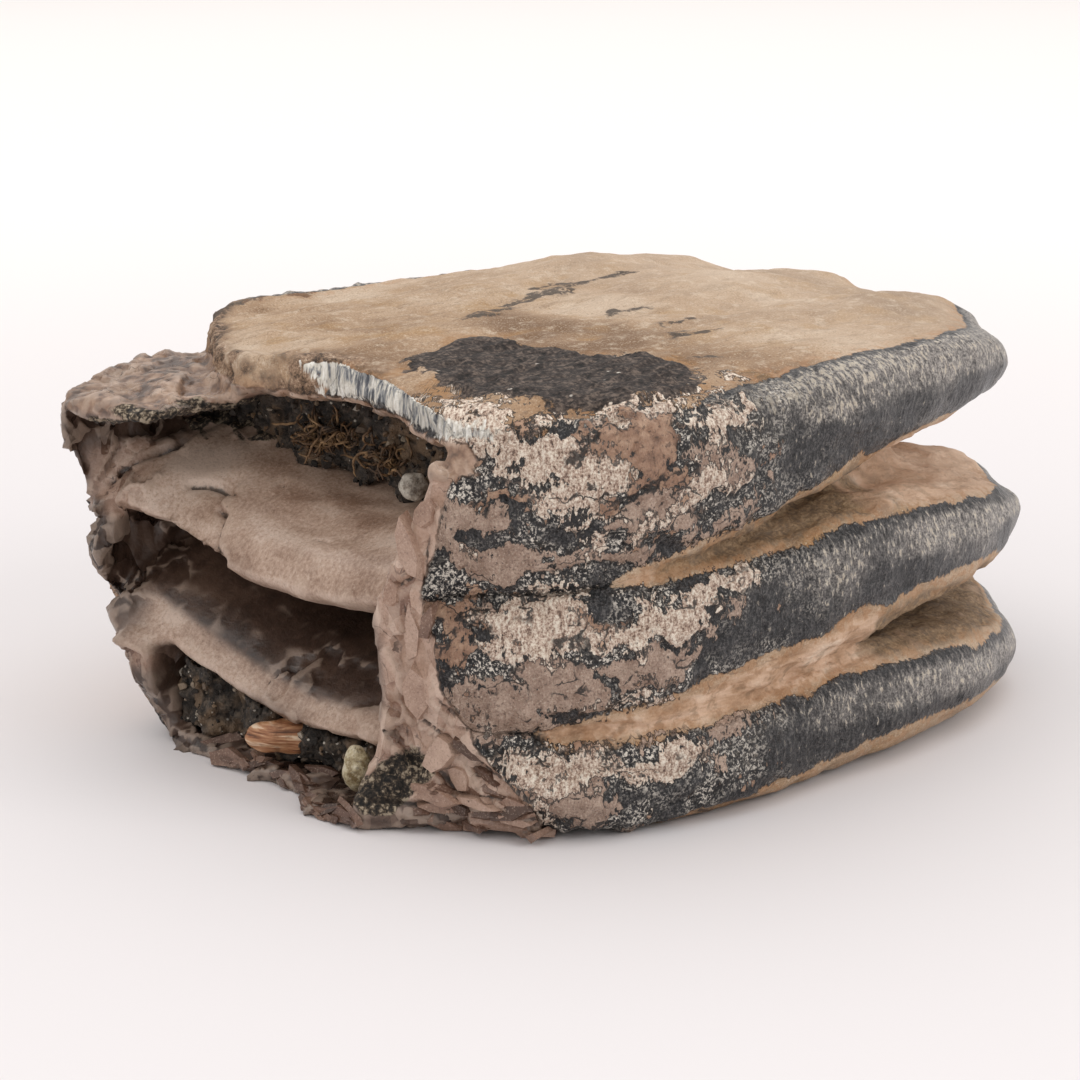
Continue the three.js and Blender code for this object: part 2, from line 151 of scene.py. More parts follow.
# cracks and notches in the dentine: half width, depth and the points they run through
CRACKS = (
    (0.55, 0.7, ((3.4, 43.8, 27.5), (4.3, 42.3, 27.7), (4.8, 40.6, 27.5), (4.6, 38.3, 27.0))),
    (0.25, 0.4, ((5.7, 34.4, 26.9), (7.1, 34.2, 27.5), (8.6, 34.8, 28.0))),
    (0.22, 0.3, ((2.9, 23.9, 24.8), (2.8, 21.7, 24.7))),
    (0.8, 1.1, ((4.5, 50.1, 29.8), (6.0, 49.2, 30.3), (7.0, 48.8, 30.5))),
    (0.5, 0.6, ((0.8, 52.6, 27.7), (2.5, 51.3, 28.8), (4.5, 49.9, 29.6))),
    (0.55, 0.8, ((2.6, 38.6, 26.0), (2.3, 37.1, 25.5), (0.8, 36.4, 24.1), (-0.2, 35.9, 22.9), (-0.8, 33.8, 21.6))),
    (0.30, 0.5, ((0.4, 29.9, 8.9), (1.1, 29.5, 9.7), (2.4, 28.7, 10.8), (3.1, 27.2, 11.0))),
    (0.25, 0.4, ((4.0, 26.7, 11.5), (5.6, 26.6, 12.2), (6.4, 26.3, 12.5))),
    (0.40, 0.5, ((-0.5, 4.5, 31.7), (-0.6, 4.9, 28.5), (-0.9, 5.2, 25.2), (-0.7, 5.0, 22.3), (-0.5, 4.1, 19.1))),
    (0.45, 0.6, ((-2.1, 7.4, 24.5), (-1.5, 6.1, 25.3), (-0.9, 5.2, 25.2))),
    (0.40, 0.5, ((-1.7, 7.0, 22.6), (-1.2, 7.2, 19.0), (-1.0, 7.4, 15.5), (-1.0, 8.0, 12.9))),
    (0.50, 0.8, ((-1.0, 8.0, 12.9), (0, 6.9, 10.8), (1, 4.4, 9.1), (2, 2.2, 7.8), (2.9, -0.8, 6.3))),
    (0.45, 0.7, ((-0.4, 4.3, 13.6), (1.5, 3.1, 11.4), (3, 0.6, 9.5), (3.4, -1.4, 8.0))),
    (0.55, 0.9, ((0.7, 6.4, 6.9), (1.4, 3.7, 4.4), (2.6, -1.1, 4.2), (4.7, -4.2, 3.3))),
    (0.60, 0.9, ((-1.6, 17.9, 1.4), (-3.9, 9.8, 3.2), (-0.9, 6.1, 2.8), (1.7, 2.0, 2.5), (4.3, -3.0, 2.0))),
    (0.45, 0.6, ((-0.1, 52.6, 26.8), (2.0, 51.8, 28.5), (3.7, 50.6, 29.5), (6.2, 48.4, 30.0))),
)

# the dark crust on top, corner by corner, and the dark blotches beside it: centre, half length along X, half width
CRUST = (
    (11.9, 21.5), (17, 22.6), (26.2, 23), (25.4, 17.5), (27.2, 13.2), (25.8, 8.5), (29, 4), (27.6, -2.5),
    (23.4, -7.2), (18.1, -8), (14.6, -7.6), (11, -4.6), (8.4, -2), (7.9, 2), (6.6, 6), (8.7, 12.5),
)
BLOTCHES = (
    (32.5, 31.2, 2.6, 1.1), (36.5, 32.3, 2.4, 0.9), (43.5, 34.6, 3.4, 1.5), (48.5, 34.6, 3.6, 1.8),
    (55, 36.5, 4.2, 1.6), (62, 37.8, 3.4, 1.2), (45.4, 20.7, 2.6, 0.8), (44.4, 12.6, 2.2, 0.7),
    (39.0, 7.5, 3.0, 0.9), (32.5, -1.5, 1.2, 0.8), (9, 51, 2.5, 1.5), (26, 60.5, 12, 2.4), (46, 62, 12, 1.8),
)

# the larger flat shards: place across and up, half width, half height, turn in degrees and paleness
SHARDS = (
    (6.5, 27.8, 1.5, 3.6, 14, 0.74),
    (5.2, 31.6, 1.1, 1.6, -20, 0.62),
    (8.0, 23.6, 0.7, 1.7, 6, 0.66),
    (6.9, 19.4, 1.4, 3.6, -4, 0.84),
    (6.7, 13.8, 1.6, 3.0, 3, 0.78),
    (4.7, 21.0, 0.9, 2.2, -16, 0.36),
    (5.2, 7.6, 1.6, 2.4, -38, 0.88),
    (3.4, 5.6, 1.7, 1.3, -34, 0.80),
    (2.6, 8.6, 2.1, 0.5, -38, 0.14),
    (0.6, 6.2, 1.9, 0.5, -36, 0.20),
    (4.6, 2.6, 3.2, 0.7, -6, 0.55),
    (1.2, 3.6, 2.8, 0.6, -9, 0.78),
    (-0.4, 1.5, 3.4, 0.7, -4, 0.62),
    (3.0, 1.0, 2.6, 0.6, 3, 0.30),
    (-2.4, 2.4, 2.2, 0.6, -12, 0.70),
)
# where small shards lie: from and to across, from and to up, and from and to in paleness. A row is picked at random
# for each shard, so a row that stands here twice gets twice as many.
SHARD_BEDS = (
    (-4.0, 6.5, 0.5, 4.6, 0.05, 0.75),
    *((12.0, 36.0, 0.5, 3.8, 0.05, 0.50),) * 2,
)
# a large and a small shard's thickness, and how far it stands out
LARGE_SHARD = (1.2, 0.35)
SMALL_SHARD = (0.7, 0.2)
SHARD_TAPER = 0.86  # the outer face's size over the inner one's
SHARD_LEAN = 0.10  # how much the outer face is tilted
SHARD_REACH = 36.0  # small shards lie only where the broken side reaches this far out
SHARD_FLOOR = 0.05  # the lowest that a shard comes

# wads of root fibres: middle and spread; then a fibre's step from point to point, its curl and how much it wanders
ROOT_WADS = (
    ((12.0, 33.4, 32.2), (0.5, 1.2, 0.8)),
    ((12.3, 31.0, 32.8), (0.5, 1.3, 0.7)),
    ((12.1, 23.4, 31.8), (0.5, 1.1, 0.6)),
)
FIBRE_STEP = 0.42
FIBRE_CURL = 0.45
FIBRE_WANDER = 0.22
# how far a grain's middle stands out of the fill and how much its corners are dented, as shares of its size
GRAIN_OUT = 0.2
GRAIN_DENT = 0.16


def srgb(red, green, blue):
    """A colour given in 0 to 255 as a screen shows it, as Blender's linear values."""
    def linear(value):
        share = value / 255
        return share / 12.92 if share <= 0.04045 else ((share + 0.055) / 1.055) ** 2.4
    return tuple(linear(value) for value in (red, green, blue))


# ---------------------------------------------------------------- fields over points

SIDE = 64  # the random lattices' points along each side, a power of two
RANDOM = np.random.default_rng(11)
LATTICE = RANDOM.uniform(-1, 1, (SIDE, SIDE, SIDE))
JITTER = RANDOM.uniform(-0.5, 0.5, (SIDE, SIDE, SIDE, 3))
OCTAVE_SCALE = 2.03
OCTAVE_SHIFT = 3.1


def noise(points, size, seed=0, octaves=1):
    """Smooth noise of about -1 to 1 with lumps `size` mm across, a number or one for each axis."""
    place = points / np.asarray(size, float) + np.array((17.3, 5.9, 41.7)) * (seed + 1)
    total = np.zeros(len(points))
    for octave in range(octaves):
        cell = np.floor(place).astype(int)
        share = place - cell
        share = share * share * share * (share * (share * 6 - 15) + 10)
        value = np.zeros(len(points))
        for corner in product((0, 1), repeat=3):
            index = (cell + corner) & (SIDE - 1)
            weight = np.prod(np.where(corner, share, 1 - share), axis=1)
            value += weight * LATTICE[index[:, 0], index[:, 1], index[:, 2]]
        total += value * 0.5 ** octave
        place = place * OCTAVE_SCALE + OCTAVE_SHIFT
    return total


def chips(points, size, seed=0):
    """
    Conchoidal chips in scattered cells `size` mm across: a hollow that is 0 in the middle and about 1 on the sharp
    ridges, and a random tilt from cell to cell.
    """
    place = points / np.asarray(size, float) + np.array((3.7, 29.1, 13.3)) * (seed + 1)
    home = np.floor(place).astype(int)
    nearest = np.full(len(points), 9.0)
    tilt = np.zeros(len(points))
    for step in product((-1, 0, 1), repeat=3):
        index = (home + step) & (SIDE - 1)
        random = JITTER[index[:, 0], index[:, 1], index[:, 2]]
        away = place - (home + step + 0.5 + 0.9 * random)
        distance = (away ** 2).sum(axis=1)
        closer = distance < nearest
        nearest = np.where(closer, distance, nearest)
        slope = JITTER[index[:, 1], index[:, 2], index[:, 0]] * 2
        tilt = np.where(closer, (away * slope).sum(axis=1), tilt)
    return nearest, tilt


def line_depth(points, line):
    """How far each point lies from the open line."""
    nearest = np.full(len(points), 1e9)
    for start, end in zip(line, line[1:]):
        start, way = np.array(start), np.subtract(end, start)
        along = np.clip((points - start) @ way / (way @ way), 0, 1)
        nearest = np.minimum(nearest, np.linalg.norm(points - start - along[:, None] * way, axis=1))
    return nearest


def fade(value, low, high):
    """0 up to `low`, 1 from `high`, smooth between."""
    share = np.clip((value - low) / (high - low), 0, 1)
    return share * share * (3 - 2 * share)


def polygon_depth(x, y, corners):
    """How far inside the closed outline each point lies, negative outside."""
    inside = np.zeros(len(x), bool)
    nearest = np.full(len(x), 1e9)
    for (ax, ay), (bx, by) in zip(corners, corners[1:] + corners[:1]):
        crosses = (ay > y) != (by > y)
        inside ^= crosses & (x < (bx - ax) * (y - ay) / (by - ay + 1e-12) + ax)
        along = np.clip(((x - ax) * (bx - ax) + (y - ay) * (by - ay)) / ((bx - ax) ** 2 + (by - ay) ** 2), 0, 1)
        nearest = np.minimum(nearest, np.hypot(x - ax - along * (bx - ax), y - ay - along * (by - ay)))
    return np.where(inside, nearest, -nearest)


def cavity_slack(points):
    """How far inside the nearest pulp cavity each point lies: a little below 0 on its walls."""
    x, y, z = points.T
    upper = np.interp(y, LIP_Y, UPPER_LIP_Z)
    lower = np.interp(y, LIP_Y, LOWER_LIP_Z)
    rise = np.interp(x, DEPTH_X, RISE)
    drop = np.interp(x, DEPTH_X, DROP)
    best = np.full(len(x), -99.0)
    floors = (CAVITY_FLOOR_Z + 0 * x, lower + rise, upper + rise)
    roofs = (lower + drop, upper + drop, CAVITY_ROOF_Z + 0 * x)
    for (near, far, depth), floor, roof in zip(CAVITIES, floors, roofs):
        narrow = CAVITY_NARROWING * fade(x, 2, depth)
        across = (2 * y - near - far) / (far - near)
        end = depth * (1 - CAVITY_BLUNTNESS * np.clip(np.abs(across), 0, 1.2) ** 4)
        slack = np.minimum.reduce([z - floor, roof - z, y - near - narrow, far - narrow - y, end - x])
        best = np.maximum(best, slack)
    return best


def outline_reach(points, plate, ridge):
    """How far each point lies in from its own plate's outline, and the outline's length round to it."""
    z = points[:, 2]
    away = points[:, :2] - MIDDLE
    turn = np.arctan2(away[:, 1], away[:, 0])
    radius = np.hypot(away[:, 0], away[:, 1])
    steps = OUTLINE_STEPS
    slot = ((turn + math.pi) / (2 * math.pi) * steps).astype(int) % steps
    turns = (np.arange(-1, steps + 1) + 0.5) / steps * 2 * math.pi - math.pi
    inset = np.zeros(len(z))
    for level in range(3):
        widest = np.zeros(steps)
        on_crest = (plate == level) & (np.abs(z - ridge) < 1.5)
        np.maximum.at(widest, slot[on_crest], radius[on_crest])
        ring = np.convolve(np.tile(widest, 3), np.ones(5) / 5, "same")[steps - 1:2 * steps + 1]
        inset = np.where(plate == level, np.interp(turn, turns, ring) - radius, inset)
    lengths = np.cumsum(np.hypot(ring, np.gradient(ring, turns[1] - turns[0]))) * (turns[1] - turns[0])
    return inset, np.interp(turn, turns, lengths)


def enamel_fields(points, normals):
    """Where the enamel lies bare, as a depth, and each point's place round and up its own plate."""
    x, y, z = points.T
    under, crest, over = ([np.interp(x, STATIONS, row) for row in rows] for rows in (UNDER, CREST, OVER))
    plate = (z > (over[0] + under[1]) / 2).astype(int) + (z > (over[1] + under[2]) / 2)
    ridge = np.choose(plate, crest)
    inset, girth = outline_reach(points, plate, ridge)
    wrap = z + np.sign(z - ridge) * np.maximum(inset - 1.5, 0)
    low = np.choose(plate, [np.interp(x, BAND_X, row) for row in BAND_LOW])
    high = np.choose(plate, [np.interp(x, BAND_X, row) for row in BAND_HIGH])
    band = np.minimum(wrap - low, high - wrap)

    # at the near corner the bands close up, and none crosses the top or the ledge
    corner = (1 - fade(x, 14, 40)) * (1 - fade(y, 8, 16))
    closed = (1 - np.where(z < 16, fade(x, 2, 7), fade(x, 5, 14))) * (1 - fade(y, 8, 16))
    band = np.where(wrap > 40.5, band, band + 5 * closed)
    on_top = (z > 39) & (((x < 18) & (y > -4)) | ((x < 34) & (y > 12) & (y < 42)))
    band = np.where(on_top, np.minimum(band, (0.5 - normals[:, 2]) * 6), band)
    band -= 6 * fade(y, 25, 29) * fade(np.interp(y, SHEET_Y, SHEET_X) + 4 - x, 0, 1.5)
    valley = fade(-band, 0.0, 2.0) * (1 - fade(z, 38, 40)) * fade(z, 3, 6)
    return {
        "band": band, "brink": high - wrap, "valley": valley, "corner": corner * (1 - valley),
        "skin": np.stack([girth, wrap, plate * 31.0], axis=1),
    }


def broken_fields(points, normals):
    """The broken base, the cavities and the ledge, as depths, and shares of 0 to 1 for what is found on them."""
    x, y, z = points.T
    upper = np.interp(y, LIP_Y, UPPER_LIP_Z)
    lower = np.interp(y, LIP_Y, LOWER_LIP_Z)
    base_x = np.interp(y, BASE_Y, BASE_X)
    sheet_x = np.interp(y, SHEET_Y, SHEET_X)
    slack = cavity_slack(points)
    facing = np.clip(-normals[:, 0], 0, 1)
    behind = np.clip(x - base_x, 0, 40)

    on_wall = np.minimum.reduce([
        base_x + 4.5 - x + 2 * facing, y - np.interp(z, CORNER_Z, CORNER_Y), LEDGE_Z + 1.5 - z,
    ])
    on_wall = np.where((y > 56) & (facing < 0.5), -2.0, on_wall)
    on_ledge = np.minimum.reduce([sheet_x + 1.2 - x, z - LEDGE_Z + 1.5, LEDGE_Z + 1.3 - z])
    hollow = np.where((z > 38) & (normals[:, 2] > 0.5), OUTSIDE, slack + 0.9)
    inner = np.maximum.reduce([hollow, on_wall, on_ledge])
    section = np.minimum.reduce([
        sheet_x + 1.9 - x + 1.5 * (1 - normals[:, 2]), z - LEDGE_Z - 2.0, 41.9 - z,
        (0.6 - normals[:, 2]) * 4, (27.5 - y) * 0.5 + 0.9 * noise(points, 2.5, 31, 2),
    ])

    # painted shade: the dentine is darkened deep in the cavities and under the tongues, and darkened on the far rim
    # and at the foot
    is_inner = inner > 0
    middle = is_inner * fade(z - lower, 1.6, 3.2) * fade(upper - z, -1.0, 0.4) * fade(y, 9, 11.5)
    bottom = is_inner * fade(lower - z, 0.6, 1.6) * fade(y, 9, 12) * fade(x, -3.5, 0)
    rim = is_inner * fade(y, 45, 51) * fade(14 - x, 0, 8)
    far = fade(y, 20, 30)
    foot = is_inner * (far * fade(9.5 - z, 0, 3) + 0.7 * (1 - far) * fade(3.8 - z, 0, 1.0))
    shade = np.maximum.reduce([middle * (0.72 + 0.28 * fade(behind, 1.5, 7)), bottom * 0.85, rim * 0.9, foot * 0.9])
    upper_tongue = fade(z - upper, -3.2, -2.0) * (1 - fade(z, 29.5, 31.5))
    shade *= 1 - 0.8 * upper_tongue * (1 - fade(y, 53, 56)) * fade(x, -2.5, -1)
    ledge = is_inner * fade(on_ledge, -0.8, 0.2)
    shade *= 1 - 0.75 * ledge

    # grit that clings under the roof, and a clod of it beside the cream pebble
    wobble = 0.7 * noise(points, 2.2, 33, 2)
    roof = is_inner * fade(z - np.interp(y, DIRT_Y, DIRT_Z) + wobble, -0.3, 0.5) * fade(LEDGE_Z - 0.6 - z, -0.4, 0.3)
    roof = roof * fade(y, 7, 10) * fade(x, -4.6, -3.2) * (1 - fade(y, 50, 53))
    clod = np.hypot((y - 8.6) / 2.8, (z - 5.0 - 0.5 * (8.6 - y)) / 3.0)
    roof = np.maximum(roof, is_inner * fade(1.0 - clod + 0.2 * wobble, -0.3, 0.4))
    tongue = is_inner * fade(y, 9.5, 12.5) * (1 - fade(y, 47, 52)) * np.maximum(
        fade(z - upper, -3.6, -2.2) * (1 - fade(z, 33.5, 35.5)),
        fade(z - lower, -2.8, -1.6) * fade(upper - z, 3, 4),
    )
    return {
        "inner": inner, "section": section, "shade": shade, "roof": roof, "rim": rim, "ledge": ledge,
        "tongue": tongue, "facing": facing, "behind": behind,
        "brim": fade(sheet_x + 3.5 - x, 0, 2) * fade(z, 35.5, 36.5) * fade(y, 15, 22),
        "cave": fade(slack, -1.2, -0.3) * (1 - fade(y, 45, 50)),
    }


def pattern_fields(points, band, corner, skin):
    """The crust, patches, stains and cracks, as depths, and clouds of noise, with the painted shade in the valleys
    and painted light on the dentine.
    """
    x, y, z = points.T
    bent = points + np.stack([noise(points, 3.2, seed, 3) for seed in (21, 22, 23)], axis=1) * 1.3
    warp = (bent - points) * (1, 1, 0)
    fields = {kind: np.full(len(x), OUTSIDE) for kind in ("cream", "clay", "rust", "stain", "crack")}
    for kind, centre, half_width, half_height, slope in PATCHES:
        away = bent - centre
        level = np.hypot(away[:, 0], away[:, 1]) / half_width
        height = (away[:, 2] - slope * away[:, 0]) / half_height
        depth = (1 - np.hypot(level, height)) * min(half_width, half_height)
        fields[kind] = np.maximum(fields[kind], depth)
    near = fade(corner, 0.0, 0.5)
    for kind, size, bias, seed in (("clay", 5.0, 1.20, 51), ("cream", 4.2, 0.45, 52), ("rust", 3.0, 0.40, 53)):
        wander = 1.9 * noise(bent * (0.6, 0.8, 1.8), size, seed, 5)
        fields[kind] = np.maximum(fields[kind], -2.2) + bias * corner - 3 * (1 - near) + wander * near
    for cx, cy, half_x, half_y in BLOTCHES:
        depth = (1 - np.hypot((bent[:, 0] - cx) / half_x, (bent[:, 1] - cy) / half_y)) * min(half_x, half_y)
        fields["stain"] = np.maximum(fields["stain"], depth)
    fields["stain"] = np.where(z > 36, fields["stain"], OUTSIDE)
    for half_width, _, line in CRACKS:
        fields["crack"] = np.maximum(fields["crack"], 1 - line_depth(points, line) / (0.65 * half_width))
    fields["crust"] = np.where(z > 38, polygon_depth(x, y, CRUST), OUTSIDE)

    # painted shade, olive dark, in the deep valleys: the upper ones near the corner, the lower ones towards the tip
    fields["murk"] = np.where(z > 18, fade(x, 12, 18) * (1 - fade(x, 38, 52)), 0.75 * fade(x, 38, 50))
    fields["tip"] = fade(x, 28, 72)
    fields["bare"] = band + 0.85 * noise(skin + warp, (3.4, 4.0, 1.0), 44, 3)
    fields["seam"] = noise(skin + 1.5 * warp, (7.0, 1.5, 1.0), 45, 3)
    fields["patchy"] = 0.5 + 0.16 * noise(bent, 3.6, 41, 4)
    fields["broad"] = 0.5 + 0.17 * noise(points, 11.0, 42, 3)
    fields["drift"] = 0.5 + 0.16 * noise(points, (2.6, 6.0, 2.2), 43, 3)
    # painted light: the dentine is paler towards the far side and high on the upper tongue, where the cavities' shade
    # falls
    fields["drift"] += 0.07 * fade(y, 30, 44) + 0.08 * fade(z, 27, 32)
    fields["scratch"] = noise(bent, (1.6, 1.2, 4.0), 46, 3)
    return fields


def tooth_fields(points, normals):
    """What tells one region of the tooth from another: depths inside each region in mm, and shares of 0 to 1."""
    fields = enamel_fields(points, normals)
    fields.update(broken_fields(points, normals))
    fields.update(pattern_fields(points, fields["band"], fields["corner"], fields["skin"]))
    # how far each point faces up, for the enamel's painted sheen
    fields["lift"] = fade(normals[:, 2], -0.35, 0.85)
    return fields


# ---------------------------------------------------------------- meshes

def read(values, attribute, width=3):
    flat = np.empty(len(values) * width, np.float32)
    values.foreach_get(attribute, flat)
    return flat.reshape(-1, width).astype(float)


def read_points(mesh):
    return read(mesh.vertices, "co") / MM - CORNER


def write_points(mesh, points):
    mesh.vertices.foreach_set("co", ((points + CORNER) * MM).astype(np.float32).ravel())
    mesh.update()


def store(mesh, name, values):
    """Keeps one value or vector for each vertex, for the materials to read."""
    kind = "FLOAT_VECTOR" if values.ndim == 2 else "FLOAT"
    attribute = mesh.attributes.new(name, kind, "POINT")
    attribute.data.foreach_set("vector" if values.ndim == 2 else "value", values.astype(np.float32).ravel())


def copy_of_node(node, name):
    """A merged copy of a CAD node's mesh, as an object of its own."""
    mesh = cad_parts[node].data.copy()
    mesh.materials.clear()
    work = bmesh.new()
    work.from_mesh(mesh)
    bmesh.ops.remove_doubles(work, verts=work.verts, dist=MERGE * MM)
    work.to_mesh(mesh)
    work.free()
    mesh.name = name
    piece = bpy.data.objects.new(name, mesh)
    bpy.context.collection.objects.link(piece)
    return piece


def new_piece(name, work, material):
    """An object made of what has been built in `work`."""
    mesh = bpy.data.meshes.new(name)
    work.to_mesh(mesh)
    work.free()
    mesh.materials.append(material)
    piece = bpy.data.objects.new(name, mesh)
    bpy.context.collection.objects.link(piece)
    return piece


def apply_modifiers(piece):
    """Replaces the piece's mesh by what its modifiers make of it."""
    graph = bpy.context.evaluated_depsgraph_get()
    graph.update()
    made = bpy.data.meshes.new_from_object(piece.evaluated_get(graph), depsgraph=graph)
    old = piece.data
    piece.modifiers.clear()
    made.name = old.name
    piece.data = made
    bpy.data.meshes.remove(old)


def remesh(piece, voxel):
    modifier = piece.modifiers.new("skin", "REMESH")
    modifier.mode = "VOXEL"
    modifier.voxel_size = voxel * MM
    apply_modifiers(piece)


def smooth(piece, steps):
    modifier = piece.modifiers.new("smooth", "SMOOTH")
    modifier.factor = 0.5
    modifier.iterations = steps
    apply_modifiers(piece)


def thin_out(piece, triangles):
    """Merges faces where the surface is flattest until `triangles` are left."""
    piece.data.calc_loop_triangles()
    count = len(piece.data.loop_triangles)
    if count > triangles:
        modifier = piece.modifiers.new("thin", "DECIMATE")
        modifier.ratio = triangles / count
        apply_modifiers(piece)


def convexity(mesh, points, steps):
    """How far each vertex stands out of its smoothed surroundings, in mm: above 0 on edges, below in hollows."""
    ends = np.empty(len(mesh.edges) * 2, np.int32)
    mesh.edges.foreach_get("vertices", ends)
    one, other = ends.reshape(-1, 2).T
    count = np.bincount(one, minlength=len(points)) + np.bincount(other, minlength=len(points))
    soft = points
    for _ in range(steps):
        total = [
            np.bincount(one, soft[other, axis], len(points)) + np.bincount(other, soft[one, axis], len(points))
            for axis in range(3)
        ]
        soft = np.stack(total, axis=1) / count[:, None]
    normals = read(mesh.vertices, "normal")
    return ((points - soft) * normals).sum(axis=1)


def shade_smooth(mesh):
    mesh.polygons.foreach_set("use_smooth", np.ones(len(mesh.polygons), bool))
    mesh.update()


# ---------------------------------------------------------------- material helpers

class Value:
    """A node's output, which sums, products and steps can be made from."""

    def __init__(self, paint, socket):
        self.paint = paint
        self.socket = socket

    def math(self, operation, other=0.0):
        return self.paint.node("ShaderNodeMath", {0: self, 1: other}, operation=operation)

    def __add__(self, other):
        return self.math("ADD", other)

    def __sub__(self, other):
        return self.math("SUBTRACT", other)

    def __rsub__(self, other):
        return self.paint.node("ShaderNodeMath", {0: other, 1: self}, operation="SUBTRACT")

    def __mul__(self, other):
        return self.math("MULTIPLY", other)

    def __abs__(self):
        return self.math("ABSOLUTE")

    def step(self, low, high):
        """0 up to `low`, 1 from `high`, smooth between."""
        return self.paint.node("ShaderNodeMapRange", {
            "Value": self, "From Min": low, "From Max": high, "To Min": 0.0, "To Max": 1.0,
        }, interpolation_type="SMOOTHSTEP")


class Paint:
    """Short hand for placing and joining nodes in one tree."""

    def __init__(self, tree):
        self.tree = tree

    def put(self, socket, value):
        if isinstance(value, Value):
            self.tree.links.new(value.socket, socket)
        elif socket.type == "RGBA" and len(value) == 3:
            socket.default_value = (*value, 1)
        else:
            socket.default_value = value

    def make(self, kind, inputs=None, **settings):
        node = self.tree.nodes.new(kind)
        for name, value in settings.items():
            setattr(node, name, value)
        for name, value in (inputs or {}).items():
            self.put(node.inputs[name], value)
        return node

    def node(self, kind, inputs=None, output=0, **settings):
        return Value(self, self.make(kind, inputs, **settings).outputs[output])

    def group(self, tree, *values):
        """Places a shared group with its inputs in order, and gives its outputs."""
        node = self.make("ShaderNodeGroup", node_tree=tree)
        for socket, value in zip(node.inputs, values):
            self.put(socket, value)
        return [Value(self, socket) for socket in node.outputs]

    def vector(self, operation, one, other):
        return self.node("ShaderNodeVectorMath", {0: one, 1: other}, operation=operation)

    def scaled(self, vector, scale):
        return self.vector("MULTIPLY", vector, scale)

    def place(self):
        """The point on the object, in mm."""
        return self.scaled(self.node("ShaderNodeTexCoord", output="Object"), (1 / MM,) * 3)

    def field(self, name, output="Fac"):
        return self.node("ShaderNodeAttribute", output=output, attribute_name=name)

    def noise(self, vector, size, detail=3.0, rough=0.55, bend=0.0):
        return self.node("ShaderNodeTexNoise", {
            "Vector": vector, "Scale": 1 / size, "Detail": detail, "Roughness": rough, "Distortion": bend,
        })

    def dots(self, vector, size):
        """The distance from the middle of the nearest of many scattered dots."""
        return self.node("ShaderNodeTexVoronoi", {"Vector": vector, "Scale": 1 / size, "Randomness": 1.0})

    def mix(self, share, one, other):
        """`one` where share is 0 and `other` where it is 1, for colours."""
        return self.node("ShaderNodeMix", {0: share, 6: one, 7: other}, 2, data_type="RGBA", clamp_factor=True)

    def blend(self, share, one, other):
        """The same for plain values."""
        return self.node("ShaderNodeMix", {0: share, 2: one, 3: other}, data_type="FLOAT", clamp_factor=True)

    def ramp(self, share, *stops):
        """A colour by share. A stop is a position and either a linear colour or red, green and blue of 0 to 255."""
        node = self.make("ShaderNodeValToRGB", {0: share})
        elements = node.color_ramp.elements
        while len(elements) < len(stops):
            elements.new(0.5)
        for element, (position, *color) in zip(elements, stops):
            element.position = position
            element.color = (*(srgb(*color) if len(color) == 3 else color[0]), 1)
        return Value(self, node.outputs[0])

    def layers(self, color, *layers):
        """The colour with others laid over it in turn, each by its share."""
        for share, over in layers:
            color = self.mix(share, color, over)
        return color

    def specks(self, color, grit, dark, dark_share, pale, pale_share):
        return self.group(speck_group(), color, grit, dark, dark_share, pale, pale_share)[0]

    def ragged(self, field, wobble, reach, soft=0.15):
        """A field's inside, with a border that `wobble` shifts by up to `reach` mm."""
        return (field + (wobble - 0.5) * (2 * reach)).step(-soft, soft)


VECTOR, FLOAT, COLOR = "NodeSocketVector", "NodeSocketFloat", "NodeSocketColor"


def node_group(name, inputs, outputs, build):
    """A shared node group, built once. `build` gets a Paint and the inputs, and returns the outputs in order."""
    if name in bpy.data.node_groups:
        return bpy.data.node_groups[name]
    tree = bpy.data.node_groups.new(name, "ShaderNodeTree")
    for socket, kind in inputs:
        tree.interface.new_socket(name=socket, in_out="INPUT", socket_type=kind)
    for socket, kind in outputs:
        tree.interface.new_socket(name=socket, in_out="OUTPUT", socket_type=kind)
    paint = Paint(tree)
    source = [Value(paint, socket) for socket in paint.make("NodeGroupInput").outputs]
    sink = paint.make("NodeGroupOutput")
    for socket, value in zip(sink.inputs, build(paint, *source[:len(inputs)])):
        paint.put(socket, value)
    return tree


def grain_group():
    """Three sizes of irregular grain, from dust to spots a millimetre or two wide."""
    def build(paint, place):
        return paint.noise(place, 0.22, 2, 0.7), paint.noise(place, 0.42, 3, 0.6), paint.noise(place, 1.5, 3, 0.6)
    outputs = [("Grit", FLOAT), ("Fine", FLOAT), ("Small", FLOAT)]
    return node_group("Mineral Grain", [("Place", VECTOR)], outputs, build)


def speck_group():
    """A colour with fine dark and pale specks over it, where the grit is high and low."""
    def build(paint, color, grit, dark, dark_share, pale, pale_share):
        color = paint.mix(grit.step(0.55, 0.67) * dark_share, color, dark)
        return (paint.mix(grit.step(0.44, 0.33) * pale_share, color, pale),)
    inputs = [
        ("Color", COLOR), ("Grit", FLOAT), ("Dark", COLOR), ("Dark Share", FLOAT), ("Pale", COLOR),
        ("Pale Share", FLOAT),
    ]
    return node_group("Specks", inputs, [("Color", COLOR)], build)


